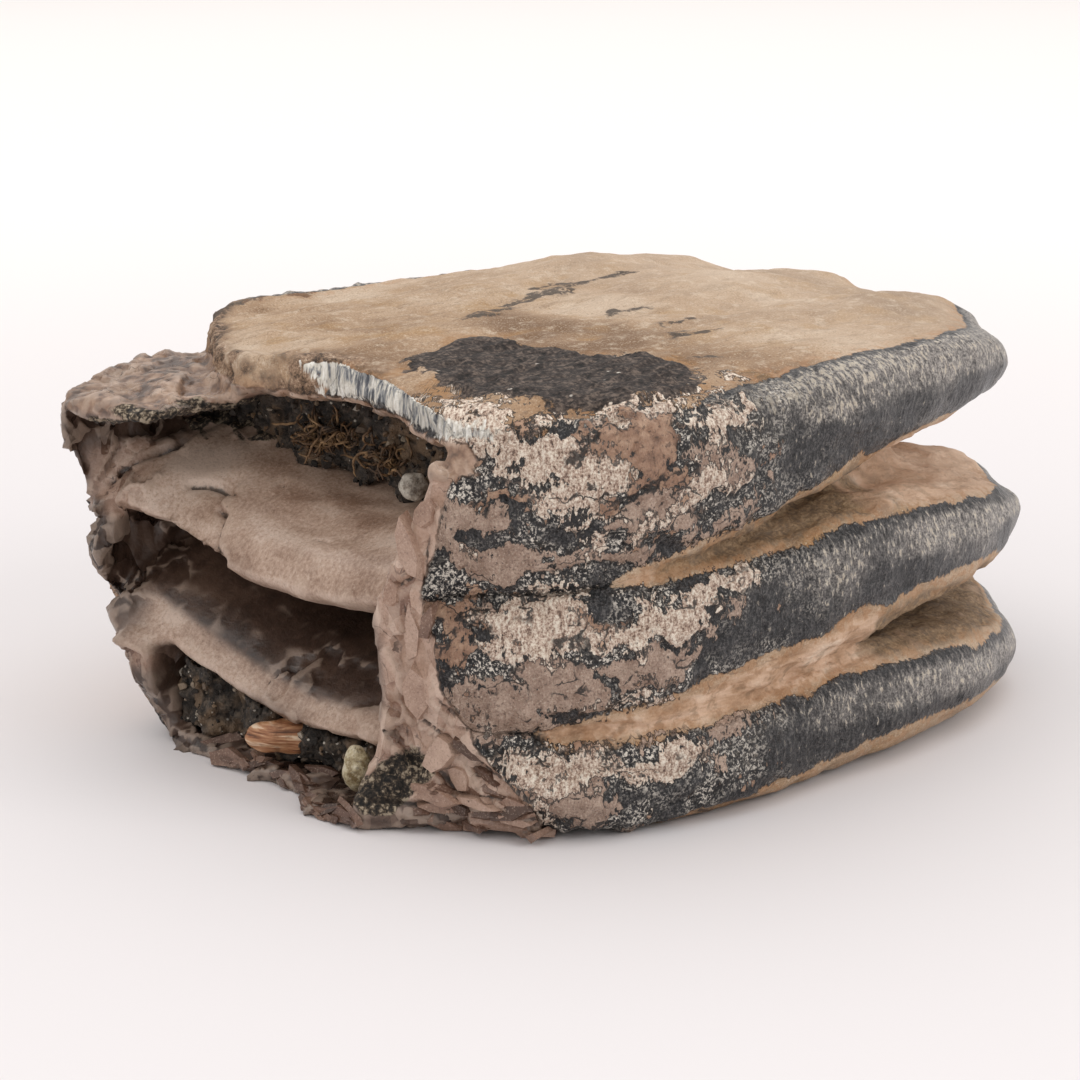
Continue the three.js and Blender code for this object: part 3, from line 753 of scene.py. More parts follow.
def facet_group():
    """Flat chipped faces with sharp edges: their height over a cell, and a random tint for each face."""
    def build(paint, place, size):
        cells = paint.vector("DIVIDE", place, size)
        bend = paint.node("ShaderNodeTexNoise", {"Vector": cells, "Scale": 1.4, "Detail": 1.0}, output="Color")
        cells = paint.vector("ADD", cells, paint.scaled(bend, (0.6, 0.6, 0.6)))
        voronoi = paint.make("ShaderNodeTexVoronoi", {"Vector": cells, "Scale": 1.0})
        middle, color = (Value(paint, voronoi.outputs[name]) for name in ("Position", "Color"))
        away = paint.vector("SUBTRACT", cells, middle)
        tilt = paint.vector("SUBTRACT", color, (0.5, 0.5, 0.5))
        height = paint.node("ShaderNodeVectorMath", {0: away, 1: tilt}, output="Value", operation="DOT_PRODUCT")
        return height, paint.node("ShaderNodeSeparateColor", {"Color": color})
    inputs = [("Place", VECTOR), ("Size", VECTOR)]
    return node_group("Chipped Facets", inputs, [("Height", FLOAT), ("Tint", FLOAT)], build)


def new_material(name):
    material = bpy.data.materials.new(name)
    material.use_nodes = True
    material.node_tree.nodes.clear()
    paint = Paint(material.node_tree)
    output = paint.make("ShaderNodeOutputMaterial")
    shader = paint.make("ShaderNodeBsdfPrincipled")
    paint.put(output.inputs[0], Value(paint, shader.outputs[0]))
    return material, paint, shader


def finish_shader(paint, shader, color, roughness, height=None, specular=0.5):
    """Joins colour, roughness and a height in mm to the shader."""
    paint.put(shader.inputs["Base Color"], color)
    paint.put(shader.inputs["Roughness"], roughness)
    shader.inputs["Specular IOR Level"].default_value = specular
    if height is not None:
        normal = paint.node("ShaderNodeBump", {"Strength": 1.0, "Distance": MM, "Height": height}, output="Normal")
        paint.put(shader.inputs["Normal"], normal)


# ---------------------------------------------------------------- tooth

def tooth_relief(points, fields):
    """How far each point of the tooth is moved along its normal, in mm."""
    x, y, z = points.T
    inner = fade(fields["inner"], -0.3, 0.5)
    outer = 1 - inner
    band = fade(fields["band"], -0.6, 0.6) * outer
    crust = fade(fields["crust"], -0.3, 0.5)
    section = fade(fields["section"], -0.4, 0.4)
    skin = fields["skin"]
    tip = fields["tip"]

    relief = 0.25 * noise(points, 6.5, 1, 2) * outer
    ripples = noise(skin, (1.2, 4.2, 1.0), 2, 2) * 0.17 + noise(skin, (0.7, 2.2, 1.0), 3) * 0.10
    relief += band * ripples * (1 - 0.7 * tip)
    relief += band * 0.38 * noise(skin, (8, 3.2, 1.0), 4, 2) * (1 - 0.6 * tip)
    relief += band * fields["corner"] * 0.24 * noise(points, 1.5, 5, 2)
    cement = outer * (1 - band) * (1 - crust)
    relief += cement * (z > 36) * 0.42 * noise(points, (20, 5, 5), 19, 2)
    relief += cement * (0.14 * noise(points, (5, 2.4, 2.4), 6, 2) + 0.07 * noise(points, 1.1, 7))
    relief -= cement * 0.25 * fade(-noise(points, (2.6, 1.3, 1.3), 8), 0.5, 0.8)
    relief += fields["valley"] * 0.35 * noise(points, (4.5, 2.2, 2.2), 15, 3) * outer
    for kind, step in (("cream", 0.20), ("clay", 0.28), ("rust", 0.25)):
        relief += fade(fields[kind], -0.3, 0.3) * step * outer
    relief += crust * (0.4 + 0.30 * noise(points, (2.4, 1.0, 1), 9, 3)) * (z > 38)
    relief += fade(fields["stain"], -0.2, 0.6) * 0.15 * outer
    relief += section * 0.34 * noise(points, (1.0, 0.8, 4.0), 10, 2)

    tongue = fields["tongue"]
    wall = inner * np.maximum(fields["facing"], 0.7 * fade(5 - fields["behind"], 0, 4)) * (1 - 0.85 * fields["cave"])
    hollow, tilt = chips(points, (4.2, 3.4, 7.0), 1)
    small_tilt = chips(points, (1.6, 1.3, 3.2), 2)[1]
    flaking = (hollow - 0.35) * 0.12 + tilt * 1.3 + small_tilt * 0.2
    slanted = np.stack([x, 0.6 * y - 0.8 * z, 0.8 * y + 0.6 * z], axis=1)
    low_tilt = chips(slanted, (3.0, 2.4, 6.5), 4)[1]
    low = fade(14 - z, 0, 2) * (1 - fade(y, 11, 14))
    flaking = flaking * (1 - low) + low * low_tilt * 1.4
    pillar = (1 - fade(y, 9, 12)) * fade(z, 12, 15)
    relief += wall * flaking * (1 - 0.95 * tongue) * (1 - fields["ledge"]) * (1 - 0.65 * pillar)
    relief += inner * fade(7 - z, 0, 2) * fade(y, 14, 20) * (0.7 * tilt + 0.15 * small_tilt)
    far_hollow, far_tilt = chips(points, (5.6, 5.0, 5.4), 3)
    lumps = (far_hollow - 0.35) * 0.2 + far_tilt * 2.0 + 0.2 * noise(points, 4, 12, 2)
    relief += fields["rim"] * lumps * 0.8 * (1 - fields["ledge"])
    relief += inner * (1 - wall) * 0.10 * noise(points, 2.4, 13, 2)
    relief += inner * fields["roof"] * (0.15 + 0.5 * noise(points, 1.3, 16, 2))
    relief += tongue * (0.16 * noise(points, 4.5, 17) + 0.04 * noise(points, 0.9, 14))
    past_step = fade(y - np.interp(z, STEP_Z, STEP_Y), -0.1, 0.5) * fade(28.5 - z, 0, 1.6) * fade(48 - y, 0, 4)
    relief -= tongue * fade(z, 20, 21) * past_step * 0.8
    scar = fade(1 - np.hypot((y - 21) / 6, (x - 3) / 5) + 0.5 * noise(points, 2.6, 18, 2), 0.0, 0.12)
    relief -= tongue * scar * fade(15 - z, 0, 1) * 0.35
    for half_width, depth, line in CRACKS:
        away = line_depth(points, line)
        relief -= inner * depth * np.exp(-(away / (0.7 * half_width)) ** 2)
    brim = fields["brim"] * (1 - section)
    relief += brim * (0.35 * noise(points, 2.2, 24, 3) + 0.12 * noise(points, 0.8, 25))
    ledge_tilt = chips(points, (5.0, 6.0, 5.0), 5)[1]
    relief += fields["ledge"] * (0.22 * noise(points, 4.0, 26, 3) + 0.5 * ledge_tilt)
    swell = np.exp(-((y - 24) / 9) ** 2 - ((z - 24.2) / 2.4) ** 2) * fade(4 - x, 0, 3)
    relief += tongue * 0.8 * swell
    return relief


# how far the skin and the dentine mix across their border, and how far the section's edge wanders
BORDER = 0.9
SECTION_REACH = 2.6
# the coat is strongest where the dentine's painted shade is full
COAT = 0.22  # the most coat that clean dark dentine has
# the fields that the tooth's materials read, besides "edge" and "form"
PAINTED = (
    "band", "bare", "inner", "section", "corner", "crust", "shade", "roof", "murk", "lift", "brink", "cream", "clay",
    "rust", "stain", "tip", "valley", "crack", "tongue", "ledge", "brim", "skin", "seam", "patchy", "broad", "drift",
    "scratch",
)


class FossilTooth(bpy.types.Operator):
    """Makes the tooth: three plates with bare enamel ridges, cement, crust and the broken base"""

    bl_idname = "fossil.tooth"
    bl_label = "Tooth"

    def execute(self, context):
        settings = context.scene.fossil_tooth
        tooth = copy_of_node("molar", "tooth")
        remesh(tooth, settings.voxel)
        smooth(tooth, settings.smoothing)
        mesh = tooth.data
        points = read_points(mesh)
        normals = read(mesh.vertices, "normal")
        fields = tooth_fields(points, normals)
        relief = tooth_relief(points, fields)
        points = points + normals * (relief * settings.relief)[:, None]
        points[:, 2] = np.maximum(points[:, 2], 0.0)
        write_points(mesh, points)
        for name in PAINTED:
            store(mesh, name, fields[name])
        thin_out(tooth, settings.triangles)
        mesh = tooth.data
        for material in (
            tooth_material("fossil_skin", True, False), tooth_material("fossil_border", True, True),
            tooth_material("fossil_dentine", False, True),
        ):
            mesh.materials.append(material)
        share_faces(mesh)
        points = read_points(mesh)
        # convexity at two scales: "edge" carries the painted highlights on sharp edges, "form" the painted shade in
        # hollows
        store(mesh, "edge", convexity(mesh, points, 2))
        store(mesh, "form", convexity(mesh, points, 14))
        shade_smooth(mesh)
        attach(tooth, "root")
        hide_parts("molar")
        return {"FINISHED"}


def cement_color(paint, grit, fine, small, patchy, grain):
    """Tan cement with light, ochre and olive clouds, pale valleys with olive-dark painted shade in their depths,
    crumbs at the brim and dark stains.
    """
    tip, small_or_patchy = paint.field("tip"), paint.blend(0.5, small, patchy)
    cement = paint.ramp(
        paint.field("broad"),
        (0.34, 126, 96, 68), (0.45, 158, 128, 99), (0.54, 180, 151, 122), (0.66, 198, 175, 151))
    cement = paint.layers(
        cement,
        (patchy.step(0.50, 0.70) * 0.75, srgb(164, 126, 78)),
        (grain.step(0.50, 0.34) * 0.35, srgb(124, 98, 74)),
        (small.step(0.52, 0.70) * 0.40, srgb(222, 204, 182)),
    )
    cement = paint.specks(cement, grit, srgb(104, 82, 62), 0.55, srgb(226, 210, 190), 0.45)

    valley = paint.ramp(
        paint.blend(0.4, patchy, grain),
        (0.36, 132, 98, 70), (0.46, 192, 155, 124), (0.55, 224, 191, 164), (0.66, 244, 222, 200))
    # painted shade in the valleys, in olive dark
    murk = paint.ramp(paint.blend(0.5, small, fine), (0.38, 58, 48, 34), (0.5, 112, 90, 62), (0.62, 164, 138, 106))
    olive_shaded = (paint.field("murk") + (patchy - 0.5) * 2.0).step(0.25, 0.65)
    valley = paint.layers(
        valley, (small.step(0.50, 0.66) * 0.5, srgb(110, 84, 56)), (olive_shaded * 0.85, murk),
        (tip * (1.0 - olive_shaded) * 0.6, srgb(216, 188, 165)))

    crumbs = paint.ramp(
        paint.blend(0.4, small, grit),
        (0.40, 58, 46, 38), (0.48, 116, 92, 72), (0.56, 160, 132, 108), (0.66, 206, 188, 168))
    halo = paint.field("crust").step(-7.0, -0.5) * patchy.step(0.44, 0.60)
    stain = paint.ragged(paint.field("stain"), small_or_patchy, 3.2, 0.3)
    stain = stain * paint.blend(0.5, fine, small).step(0.42, 0.50)
    return paint.layers(
        cement,
        (tip * 0.40, paint.mix(small, srgb(196, 172, 148), srgb(226, 208, 188))),
        (paint.field("valley") * 0.9, valley),
        (paint.field("brim") * patchy.step(0.38, 0.50), crumbs),
        (halo * 0.6, paint.mix(fine, srgb(128, 84, 44), srgb(184, 138, 86))),
        (stain * 0.9, paint.ramp(fine, (0.35, 38, 32, 29), (0.65, 82, 70, 60))),
        (paint.field("band").step(-3.4, -0.6) * small.step(0.44, 0.60) * 0.45, srgb(166, 112, 62)),
    )


def enamel_looks(paint, grit, fine, patchy, streak):
    """Slate enamel with a lighter grey on top that is painted sheen and wear, with short pale ribs that fade towards
    the tip: its colour and roughness.
    """
    tip = paint.field("tip")
    # painted sheen, together with wear: lighter grey where the enamel faces up and near the band's upper edge
    lifted = paint.field("lift") + (patchy - 0.5) * 1.6 + tip * 0.35
    wear_and_sheen = lifted.step(0.18, 0.85) * (paint.field("brink") + (streak - 0.5) * 2.5).step(0.4, 2.2)
    shine = paint.blend(0.5, grit, streak)
    slate = paint.ramp(shine, (0.42, 20, 20, 22), (0.50, 46, 45, 47), (0.58, 88, 85, 84))
    polish_and_sheen = paint.ramp(shine, (0.40, 84, 80, 78), (0.50, 152, 145, 140), (0.60, 200, 193, 184))
    ribs = (streak + (wear_and_sheen - 0.6) * 0.14 - tip * 0.09).step(0.545, 0.60)
    # salt and pepper at the near corner
    salt = paint.ramp(
        paint.blend(0.5, grit, fine),
        (0.42, 20, 21, 24), (0.485, 48, 48, 51), (0.515, 120, 114, 108), (0.56, 232, 224, 212))
    enamel = paint.layers(
        slate, (wear_and_sheen * 0.85, polish_and_sheen), (ribs * 0.85, paint.mix(fine, srgb(168, 150, 130), srgb(232, 224, 208))),
        (paint.field("corner"), paint.mix(patchy.step(0.44, 0.56), slate, salt)))
    return enamel, paint.blend(ribs, paint.blend(wear_and_sheen, 0.30, 0.42), 0.62)


def remains(paint, outer, grit, fine, small, patchy, streak):
    """Ragged remains of clay, cream and rusty cement, each with a dark line round it, and dark seams."""
    cream = paint.ramp(
        paint.blend(0.5, streak, grit),
        (0.38, 96, 74, 62), (0.44, 166, 140, 123), (0.50, 202, 179, 161), (0.58, 238, 226, 210))
    clay = paint.ramp(small, (0.3, 142, 116, 100), (0.5, 168, 143, 127), (0.7, 190, 166, 149))
    clay = paint.specks(clay, grit, srgb(84, 64, 52), 0.6, srgb(214, 196, 178), 0.5)
    rust = paint.ramp(small, (0.3, 108, 80, 64), (0.5, 158, 124, 102), (0.7, 188, 156, 132))
    rust = paint.mix(fine.step(0.56, 0.66) * 0.6, rust, srgb(62, 46, 38))
    for name, color in (("clay", clay), ("cream", cream), ("rust", rust)):
        rim = paint.field(name) + (paint.blend(0.5, streak, small) - 0.5) * 8.0
        outer = paint.layers(
            outer, (abs(rim + 0.2).step(0.40, 0.12) * 0.85, srgb(30, 26, 25)), (rim.step(-0.12, 0.12), color))
    seam = abs(paint.field("seam") + (fine - 0.5) * 0.5).step(0.16, 0.06)
    return paint.mix(seam * paint.field("corner") * patchy.step(0.48, 0.54) * 0.9, outer, srgb(22, 20, 20))


def skin_looks(paint, place):
    """Cement, bare enamel, crust and the enamel's broken section: colour, roughness, height in mm and the section."""
    grit, fine, small = paint.group(grain_group(), place)
    patchy, tip = paint.field("patchy"), paint.field("tip")
    streak = paint.noise(paint.scaled(paint.field("skin", "Vector"), (1 / 0.45, 1 / 1.0, 1)), 1.0, 3, 0.62)
    grain = paint.noise(paint.scaled(place, (1 / 5.0, 1 / 1.1, 1 / 1.1)), 1.0, 3, 0.6)
    ribs = paint.noise(paint.scaled(place, (1 / 0.5, 1 / 0.45, 1 / 3.0)), 1.0, 2, 0.6)

    cement = cement_color(paint, grit, fine, small, patchy, grain)
    enamel, enamel_rough = enamel_looks(paint, grit, fine, patchy, streak)
    band = paint.ragged(paint.field("bare"), streak, 0.8, 0.12)
    outer = remains(paint, paint.mix(band, cement, enamel), grit, fine, small, patchy, streak)

    crust = paint.ramp(paint.blend(0.45, fine, small), (0.38, 22, 19, 17), (0.50, 58, 49, 45), (0.62, 112, 98, 88))
    crust = paint.mix(paint.dots(place, 3.4).step(0.10, 0.06), crust, srgb(226, 218, 206))
    crust_mask = paint.ragged(paint.field("crust"), paint.blend(0.5, small, patchy), 4.0, 0.2)
    section = paint.ramp(
        paint.blend(0.35, ribs, patchy),
        (0.39, 74, 78, 86), (0.46, 150, 151, 152), (0.52, 214, 208, 196), (0.62, 246, 243, 236))
    section_mask = paint.ragged(paint.field("section"), paint.blend(0.5, ribs, patchy), 2.2, 0.2)
    outer = paint.layers(outer, (crust_mask, crust), (section_mask, section))

    rough = paint.blend(crust_mask, paint.blend(band, 0.78, enamel_rough), 0.9)
    relief = streak * paint.blend(tip, 0.6, 0.25) + fine * paint.blend(tip, 0.26, 0.10)
    return outer, rough, paint.blend(band, (fine + grain) * 0.2, relief), section_mask


def broken_looks(paint, place):
    """Broken dentine and the dirt that clings to it: colour, roughness, height in mm and gloss."""
    patchy, drift, tongue = (paint.field(name) for name in ("patchy", "drift", "tongue"))
    grit, fine, small = paint.group(grain_group(), place)
    chip, chip_tint_and_light = paint.group(facet_group(), place, (3.4, 2.8, 5.0))
    # each chipped face gets a random tint, which also stands in for painted light and shade, as if each face met the
    # light at its own angle
    facet_tint_and_light = paint.blend(0.4, chip_tint_and_light, paint.group(facet_group(), place, (1.3, 1.1, 1.7))[1])
    facets = 1.0 - tongue

    dentine = paint.ramp(
        paint.blend(0.55, small, facet_tint_and_light),
        (0.26, 128, 96, 80), (0.42, 166, 135, 116), (0.58, 188, 158, 140), (0.74, 208, 182, 165))
    satin = paint.ramp(
        paint.blend(0.35, drift, fine),
        (0.37, 134, 106, 88), (0.46, 162, 135, 117), (0.53, 182, 156, 138), (0.62, 202, 180, 164))
    dentine = paint.mix(tongue, dentine, satin)
    dentine = paint.specks(dentine, grit, srgb(92, 70, 58), 0.30, srgb(210, 190, 174), 0.25)

    # the old ledge, scratches, painted shade in hollows and deep in the cavities, and painted highlights on edges
    old_ledge = paint.ramp(
        paint.blend(0.4, patchy, small),
        (0.41, 60, 47, 40), (0.47, 128, 99, 79), (0.53, 170, 141, 118), (0.60, 194, 170, 150))
    scratch = abs(paint.field("scratch") + (fine - 0.5) * 0.2).step(0.07, 0.02)
    scratch = scratch * (patchy.step(0.48, 0.56) * paint.blend(tongue, 1.0, 0.15))
    # painted shade: hollows of the surface are darkened, more so within the cavities' painted shade
    hollow = paint.field("form").step(0.0, -1.0) * paint.blend(paint.field("shade"), 0.35, 0.8)
    # the colour of the painted shade deep in the cavities, under the tongues, on the far rim and at the foot
    dark = paint.ramp(
        paint.blend(facets * 0.4, paint.blend(0.5, small, drift), facet_tint_and_light),
        (0.34, 46, 34, 28), (0.5, 68, 51, 42), (0.66, 92, 72, 60))
    shade = paint.field("shade") + (patchy - 0.5) * (facets * 0.5)
    dirt = (paint.field("roof") + (small - 0.5) * 1.2).step(0.35, 0.6)
    dirt_color = paint.ramp(
        paint.blend(0.6, small, fine),
        (0.40, 22, 20, 18), (0.49, 54, 47, 41), (0.54, 98, 85, 70), (0.60, 168, 154, 134))
    crack = paint.field("crack") + (fine - 0.5) * 0.8
    dentine = paint.layers(
        dentine,
        (paint.field("ledge") * 0.8, old_ledge),
        (scratch * 0.75, srgb(66, 48, 38)),
        (hollow, srgb(70, 52, 42)),
        (shade.step(0.0, 0.85), dark),
        # painted highlight: pale lines on the sharp edges
        (paint.field("edge").step(0.03, 0.12) * 0.4, srgb(196, 174, 157)),
        (dirt, dirt_color),
        (crack.step(0.15, 0.6) * 0.8, srgb(38, 29, 24)),
    )

    rough = paint.blend(tongue, paint.blend(facet_tint_and_light, 0.20, 0.48), paint.blend(small, 0.24, 0.50))
    height = fine * 0.07 + chip * paint.blend(tongue, 2.6, 0.08)
    return dentine, paint.blend(dirt, rough, 0.9), height, (1.0 - dirt) * shade.step(0.1, 0.8)


def tooth_material(name, skin, broken):
    """The tooth's skin, its broken dentine, or the border between them."""
    material, paint, shader = new_material(name)
    place = paint.place()
    outputs = [("Color", COLOR), ("Roughness", FLOAT), ("Height", FLOAT)]
    if skin:
        tree = node_group("Tooth Skin", [("Place", VECTOR)], [*outputs, ("Section", FLOAT)], skin_looks)
        *looks, section = paint.group(tree, place)
    if broken:
        tree = node_group("Broken Dentine", [("Place", VECTOR)], [*outputs, ("Gloss", FLOAT)], broken_looks)
        *broken_parts, gloss = paint.group(tree, place)
    if skin and broken:
        small = paint.group(grain_group(), place)[2]
        inner = paint.ragged(paint.field("inner"), small, 0.4) * (1.0 - section)
        joins = (paint.mix, paint.blend, paint.blend)
        looks = [join(inner, one, other) for join, one, other in zip(joins, looks, broken_parts)]
        gloss = inner * gloss
    elif broken:
        looks = broken_parts
    finish_shader(paint, shader, *looks)
    if broken:
        paint.put(shader.inputs["Coat Weight"], gloss * COAT)
        shader.inputs["Coat Roughness"].default_value = 0.16
    return material


def share_faces(mesh):
    """Gives each face the skin, the border or the dentine material, by the fields at its corners."""
    inner = read(mesh.attributes["inner"].data, "value", 1)[:, 0]
    section = read(mesh.attributes["section"].data, "value", 1)[:, 0]
    corners = np.empty(len(mesh.loops), np.int32)
    starts = np.empty(len(mesh.polygons), np.int32)
    mesh.loops.foreach_get("vertex_index", corners)
    mesh.polygons.foreach_get("loop_start", starts)
    slots = np.ones(len(starts), np.int32)
    slots[np.maximum.reduceat(inner[corners], starts) < -BORDER] = 0
    within = np.minimum.reduceat(inner[corners], starts) > BORDER
    slots[within & (np.maximum.reduceat(section[corners], starts) < -SECTION_REACH)] = 2
    mesh.polygons.foreach_set("material_index", slots)


class FossilToothSettings(bpy.types.PropertyGroup):
    voxel: bpy.props.FloatProperty(
        name="Voxel", description="Size of the surface's first squares, in mm", default=0.45, min=0.2)
    smoothing: bpy.props.IntProperty(
        name="Smoothing", description="Rounds of smoothing before the relief", default=14, min=0)
    relief: bpy.props.FloatProperty(name="Relief", description="Strength of the surface's relief", default=1.0)
    triangles: bpy.props.IntProperty(
        name="Triangles", description="Most triangles of the tooth", default=196000, min=20000)


# ---------------------------------------------------------------- sediment

def grit_relief(points, seed):
    """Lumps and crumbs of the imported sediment, in mm."""
    lumps = 0.9 * noise(points, 3.4, seed, 3) + 0.45 * noise(points, 1.3, seed + 1, 2)
    hollow, tilt = chips(points, (1.9, 1.9, 1.6), seed + 2)
    return lumps + 0.7 * tilt - 0.35 * (hollow - 0.35)


class FossilSediment(bpy.types.Operator):
    """Makes the dark sediment that fills the cavities between the broken plates"""

    bl_idname = "fossil.sediment"
    bl_label = "Sediment"

    def execute(self, context):
        settings = context.scene.fossil_sediment
        material = grit_material("fossil_grit", settings)
        for seed, node in ((41, "sediment_lower"), (51, "sediment_upper")):
            piece = copy_of_node(node, node + "_fill")
            remesh(piece, settings.voxel)
            smooth(piece, 3)
            mesh = piece.data
            points = read_points(mesh)
            normals = read(mesh.vertices, "normal")
            points = points + normals * grit_relief(points, seed)[:, None]
            if node == "sediment_upper":
                front = np.interp(points[:, 1], DIRT_Y, DIRT_X) - 0.4 + 0.6 * noise(points, 2.0, seed + 5, 2)
                points[:, 0] = np.maximum(points[:, 0], front + 0.12 * (points[:, 0] - front))
            points[:, 2] = np.maximum(points[:, 2], 0.0)
            write_points(mesh, points)
            points = read_points(mesh)
            # convexity, for the painted shade in the grit's hollows
            store(mesh, "form", convexity(mesh, points, 8))
            store(mesh, "tint", 0.5 + 0.5 * noise(points, 2.0, seed + 3, 2))
            shade_smooth(mesh)
            mesh.materials.append(material)
            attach(piece, "root")
            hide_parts(node)
        return {"FINISHED"}


def outward_spots(piece, count, random):
    """Random points on the piece where it faces the open side, with the way out there."""
    mesh = piece.data
    faces = [face for face in mesh.polygons if face.normal.x < -0.15 or face.normal.z > 0.4]
    areas = np.cumsum([face.area for face in faces])
    picks = np.searchsorted(areas, random.uniform(0, areas[-1], count))
    return [(faces[pick].center.copy(), faces[pick].normal.copy()) for pick in picks]


class FossilGrains(bpy.types.Operator):
    """Strews sand grains and small crumbs over the sediment"""

    bl_idname = "fossil.grains"
    bl_label = "Grains"

    def execute(self, context):
        settings = context.scene.fossil_grains
        random = np.random.default_rng(settings.seed)
        material = grain_material()
        for name, carrier in (("grains_lower", "sediment_lower_fill"), ("grains_upper", "sediment_upper_fill")):
            work = bmesh.new()
            tint = work.verts.layers.float.new("tint")
            for place, out in outward_spots(bpy.data.objects[carrier], settings.count, random):
                size = settings.size * MM * random.gamma(3.0, 1 / 3.0)
                turn = Euler(random.uniform(0, 6.3, 3)).to_matrix().to_4x4()
                shape = Matrix.Diagonal((*(size * random.uniform(0.6, 1.2, 3)), 1))
                matrix = Matrix.Translation(place + out * size * GRAIN_OUT) @ turn @ shape
                made = bmesh.ops.create_icosphere(work, subdivisions=1, radius=0.5, matrix=matrix)
                shade = random.uniform(0, 1)
                for vertex in made["verts"]:
                    vertex.co += Vector(random.uniform(-GRAIN_DENT, GRAIN_DENT, 3) * size)
                    vertex.co.z = max(vertex.co.z, 0.0)
                    vertex[tint] = shade
            piece = new_piece(name, work, material)
            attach(piece, "root")
        return {"FINISHED"}


class FossilRoots(bpy.types.Operator):
    """Makes the dried root fibres that hang on the front of the upper sediment"""

    bl_idname = "fossil.roots"
    bl_label = "Root fibres"

    def execute(self, context):
        settings = context.scene.fossil_roots
        random = np.random.default_rng(settings.seed)
        curve = bpy.data.curves.new("root_fibres", "CURVE")
        curve.dimensions = "3D"
        curve.bevel_depth = settings.thickness / 2 * MM
        curve.bevel_resolution = 1
        curve.use_fill_caps = True
        for _ in range(settings.count):
            middle, spread = ROOT_WADS[random.integers(len(ROOT_WADS))]
            place = np.array(middle) + random.normal(0, 1, 3) * spread
            way = random.normal(0, 1, 3) * (0.5, 1.0, 0.8)
            way /= np.linalg.norm(way)
            curl = random.normal(0, FIBRE_CURL, 3)
            spline = curve.splines.new("POLY")
            spline.points.add(settings.points - 1)
            for index in range(settings.points):
                spline.points[index].co = (*((place + CORNER) * MM), 1)
                spline.points[index].radius = 0.5 + 0.9 * math.sin(math.pi * (index + 0.5) / settings.points)
                way = way + np.cross(curl, way) + random.normal(0, FIBRE_WANDER, 3)
                way /= np.linalg.norm(way)
                place = place + way * FIBRE_STEP
        piece = bpy.data.objects.new("root_fibres", curve)
        context.collection.objects.link(piece)
        graph = context.evaluated_depsgraph_get()
        mesh = bpy.data.meshes.new_from_object(piece.evaluated_get(graph), depsgraph=graph)
        bpy.data.objects.remove(piece)
        piece = bpy.data.objects.new("root_fibres", mesh)
        context.collection.objects.link(piece)
        mesh.materials.clear()
        mesh.materials.append(root_material())
        shade_smooth(mesh)
        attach(piece, "root")
        return {"FINISHED"}


def tooth_face(tooth, y, z, reach=1.2):
    """Where a line along +X at this height meets the tooth, and the mean way out of the surface round there."""
    def cast(across, up):
        origin = Vector((*((np.array((-60.0, across, up)) + CORNER) * MM),))
        return tooth.ray_cast(origin, Vector((1, 0, 0)))
    found, place, _, _ = cast(y, z)
    if not found:
        return None
    out = Vector()
    for across, up in product((-reach, 0, reach), repeat=2):
        met, _, normal, _ = cast(y + across, max(z + up, 0.3))
        if met:
            out += normal
    return place, out.normalized()


def add_shard(work, tint, random, place, out, wide, high, turn, shade, body):
    """Adds one flat splinter with five to seven corners. `body` is its thickness and how far it stands out."""
    thick, proud = body
    corners = int(random.integers(5, 8))
    rim = bmesh.ops.create_circle(work, cap_ends=True, segments=corners, radius=1.0)["verts"]
    for vertex in rim:
        vertex.co *= random.uniform(0.72, 1.15)
    grown = bmesh.ops.extrude_face_region(work, geom=[rim[0].link_faces[0]])["geom"]
    top = [part for part in grown if isinstance(part, bmesh.types.BMVert)]
    lean = random.normal(0, SHARD_LEAN, 2)
    for vertex in top:
        vertex.co.x *= SHARD_TAPER
        vertex.co.y *= SHARD_TAPER
        vertex.co.z = 1.0 + vertex.co.x * lean[0] * 2 + vertex.co.y * lean[1] * 2
    across = Vector((0, 0, 1)).cross(out).normalized()
    axes = Matrix((across, out.cross(across), out)).transposed() @ Euler((0, 0, math.radians(turn))).to_matrix()
    size = Matrix.Diagonal((wide * MM, high * MM, thick * MM, 1))
    base = Matrix.Translation(place + out * (proud - thick) * MM)
    bmesh.ops.transform(work, matrix=base @ axes.to_4x4() @ size, verts=rim + top)
    for vertex in rim + top:
        vertex[tint] = shade
        vertex.co.x = max(vertex.co.x, CAD_BOX[0][0])
        vertex.co.z = max(vertex.co.z, SHARD_FLOOR * MM)


class FossilShards(bpy.types.Operator):
    """Sets flat splinters of dentine on the broken side, large ones listed and small ones strewn"""

    bl_idname = "fossil.shards"
    bl_label = "Shards"

    def execute(self, context):
        settings = context.scene.fossil_shards
        random = np.random.default_rng(settings.seed)
        tooth = bpy.data.objects["tooth"]
        work = bmesh.new()
        tint = work.verts.layers.float.new("tint")
        for y, z, wide, high, turn, shade in SHARDS:
            found = tooth_face(tooth, y, z)
            if found:
                add_shard(work, tint, random, *found, wide, high, turn, shade, LARGE_SHARD)
        for _ in range(settings.count):
            y_low, y_high, z_low, z_high, shade_low, shade_high = SHARD_BEDS[random.integers(len(SHARD_BEDS))]
            found = tooth_face(tooth, random.uniform(y_low, y_high), random.uniform(z_low, z_high))
            size = settings.size * random.gamma(4.0, 0.25)
            turn, shade = random.uniform(-24, 24), random.uniform(shade_low, shade_high)
            if found and found[0].x < -SHARD_REACH * MM:
                place, out = found
                out = (out + Vector(random.normal(0, 0.25, 3))).normalized()
                wide, high = size * random.uniform(1.1, 2.0), size * random.uniform(0.3, 0.6)
                add_shard(work, tint, random, place, out, wide, high, turn, shade, SMALL_SHARD)
        bmesh.ops.recalc_face_normals(work, faces=work.faces)
        piece = new_piece("shards", work, shard_material())
        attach(piece, "root")
        return {"FINISHED"}


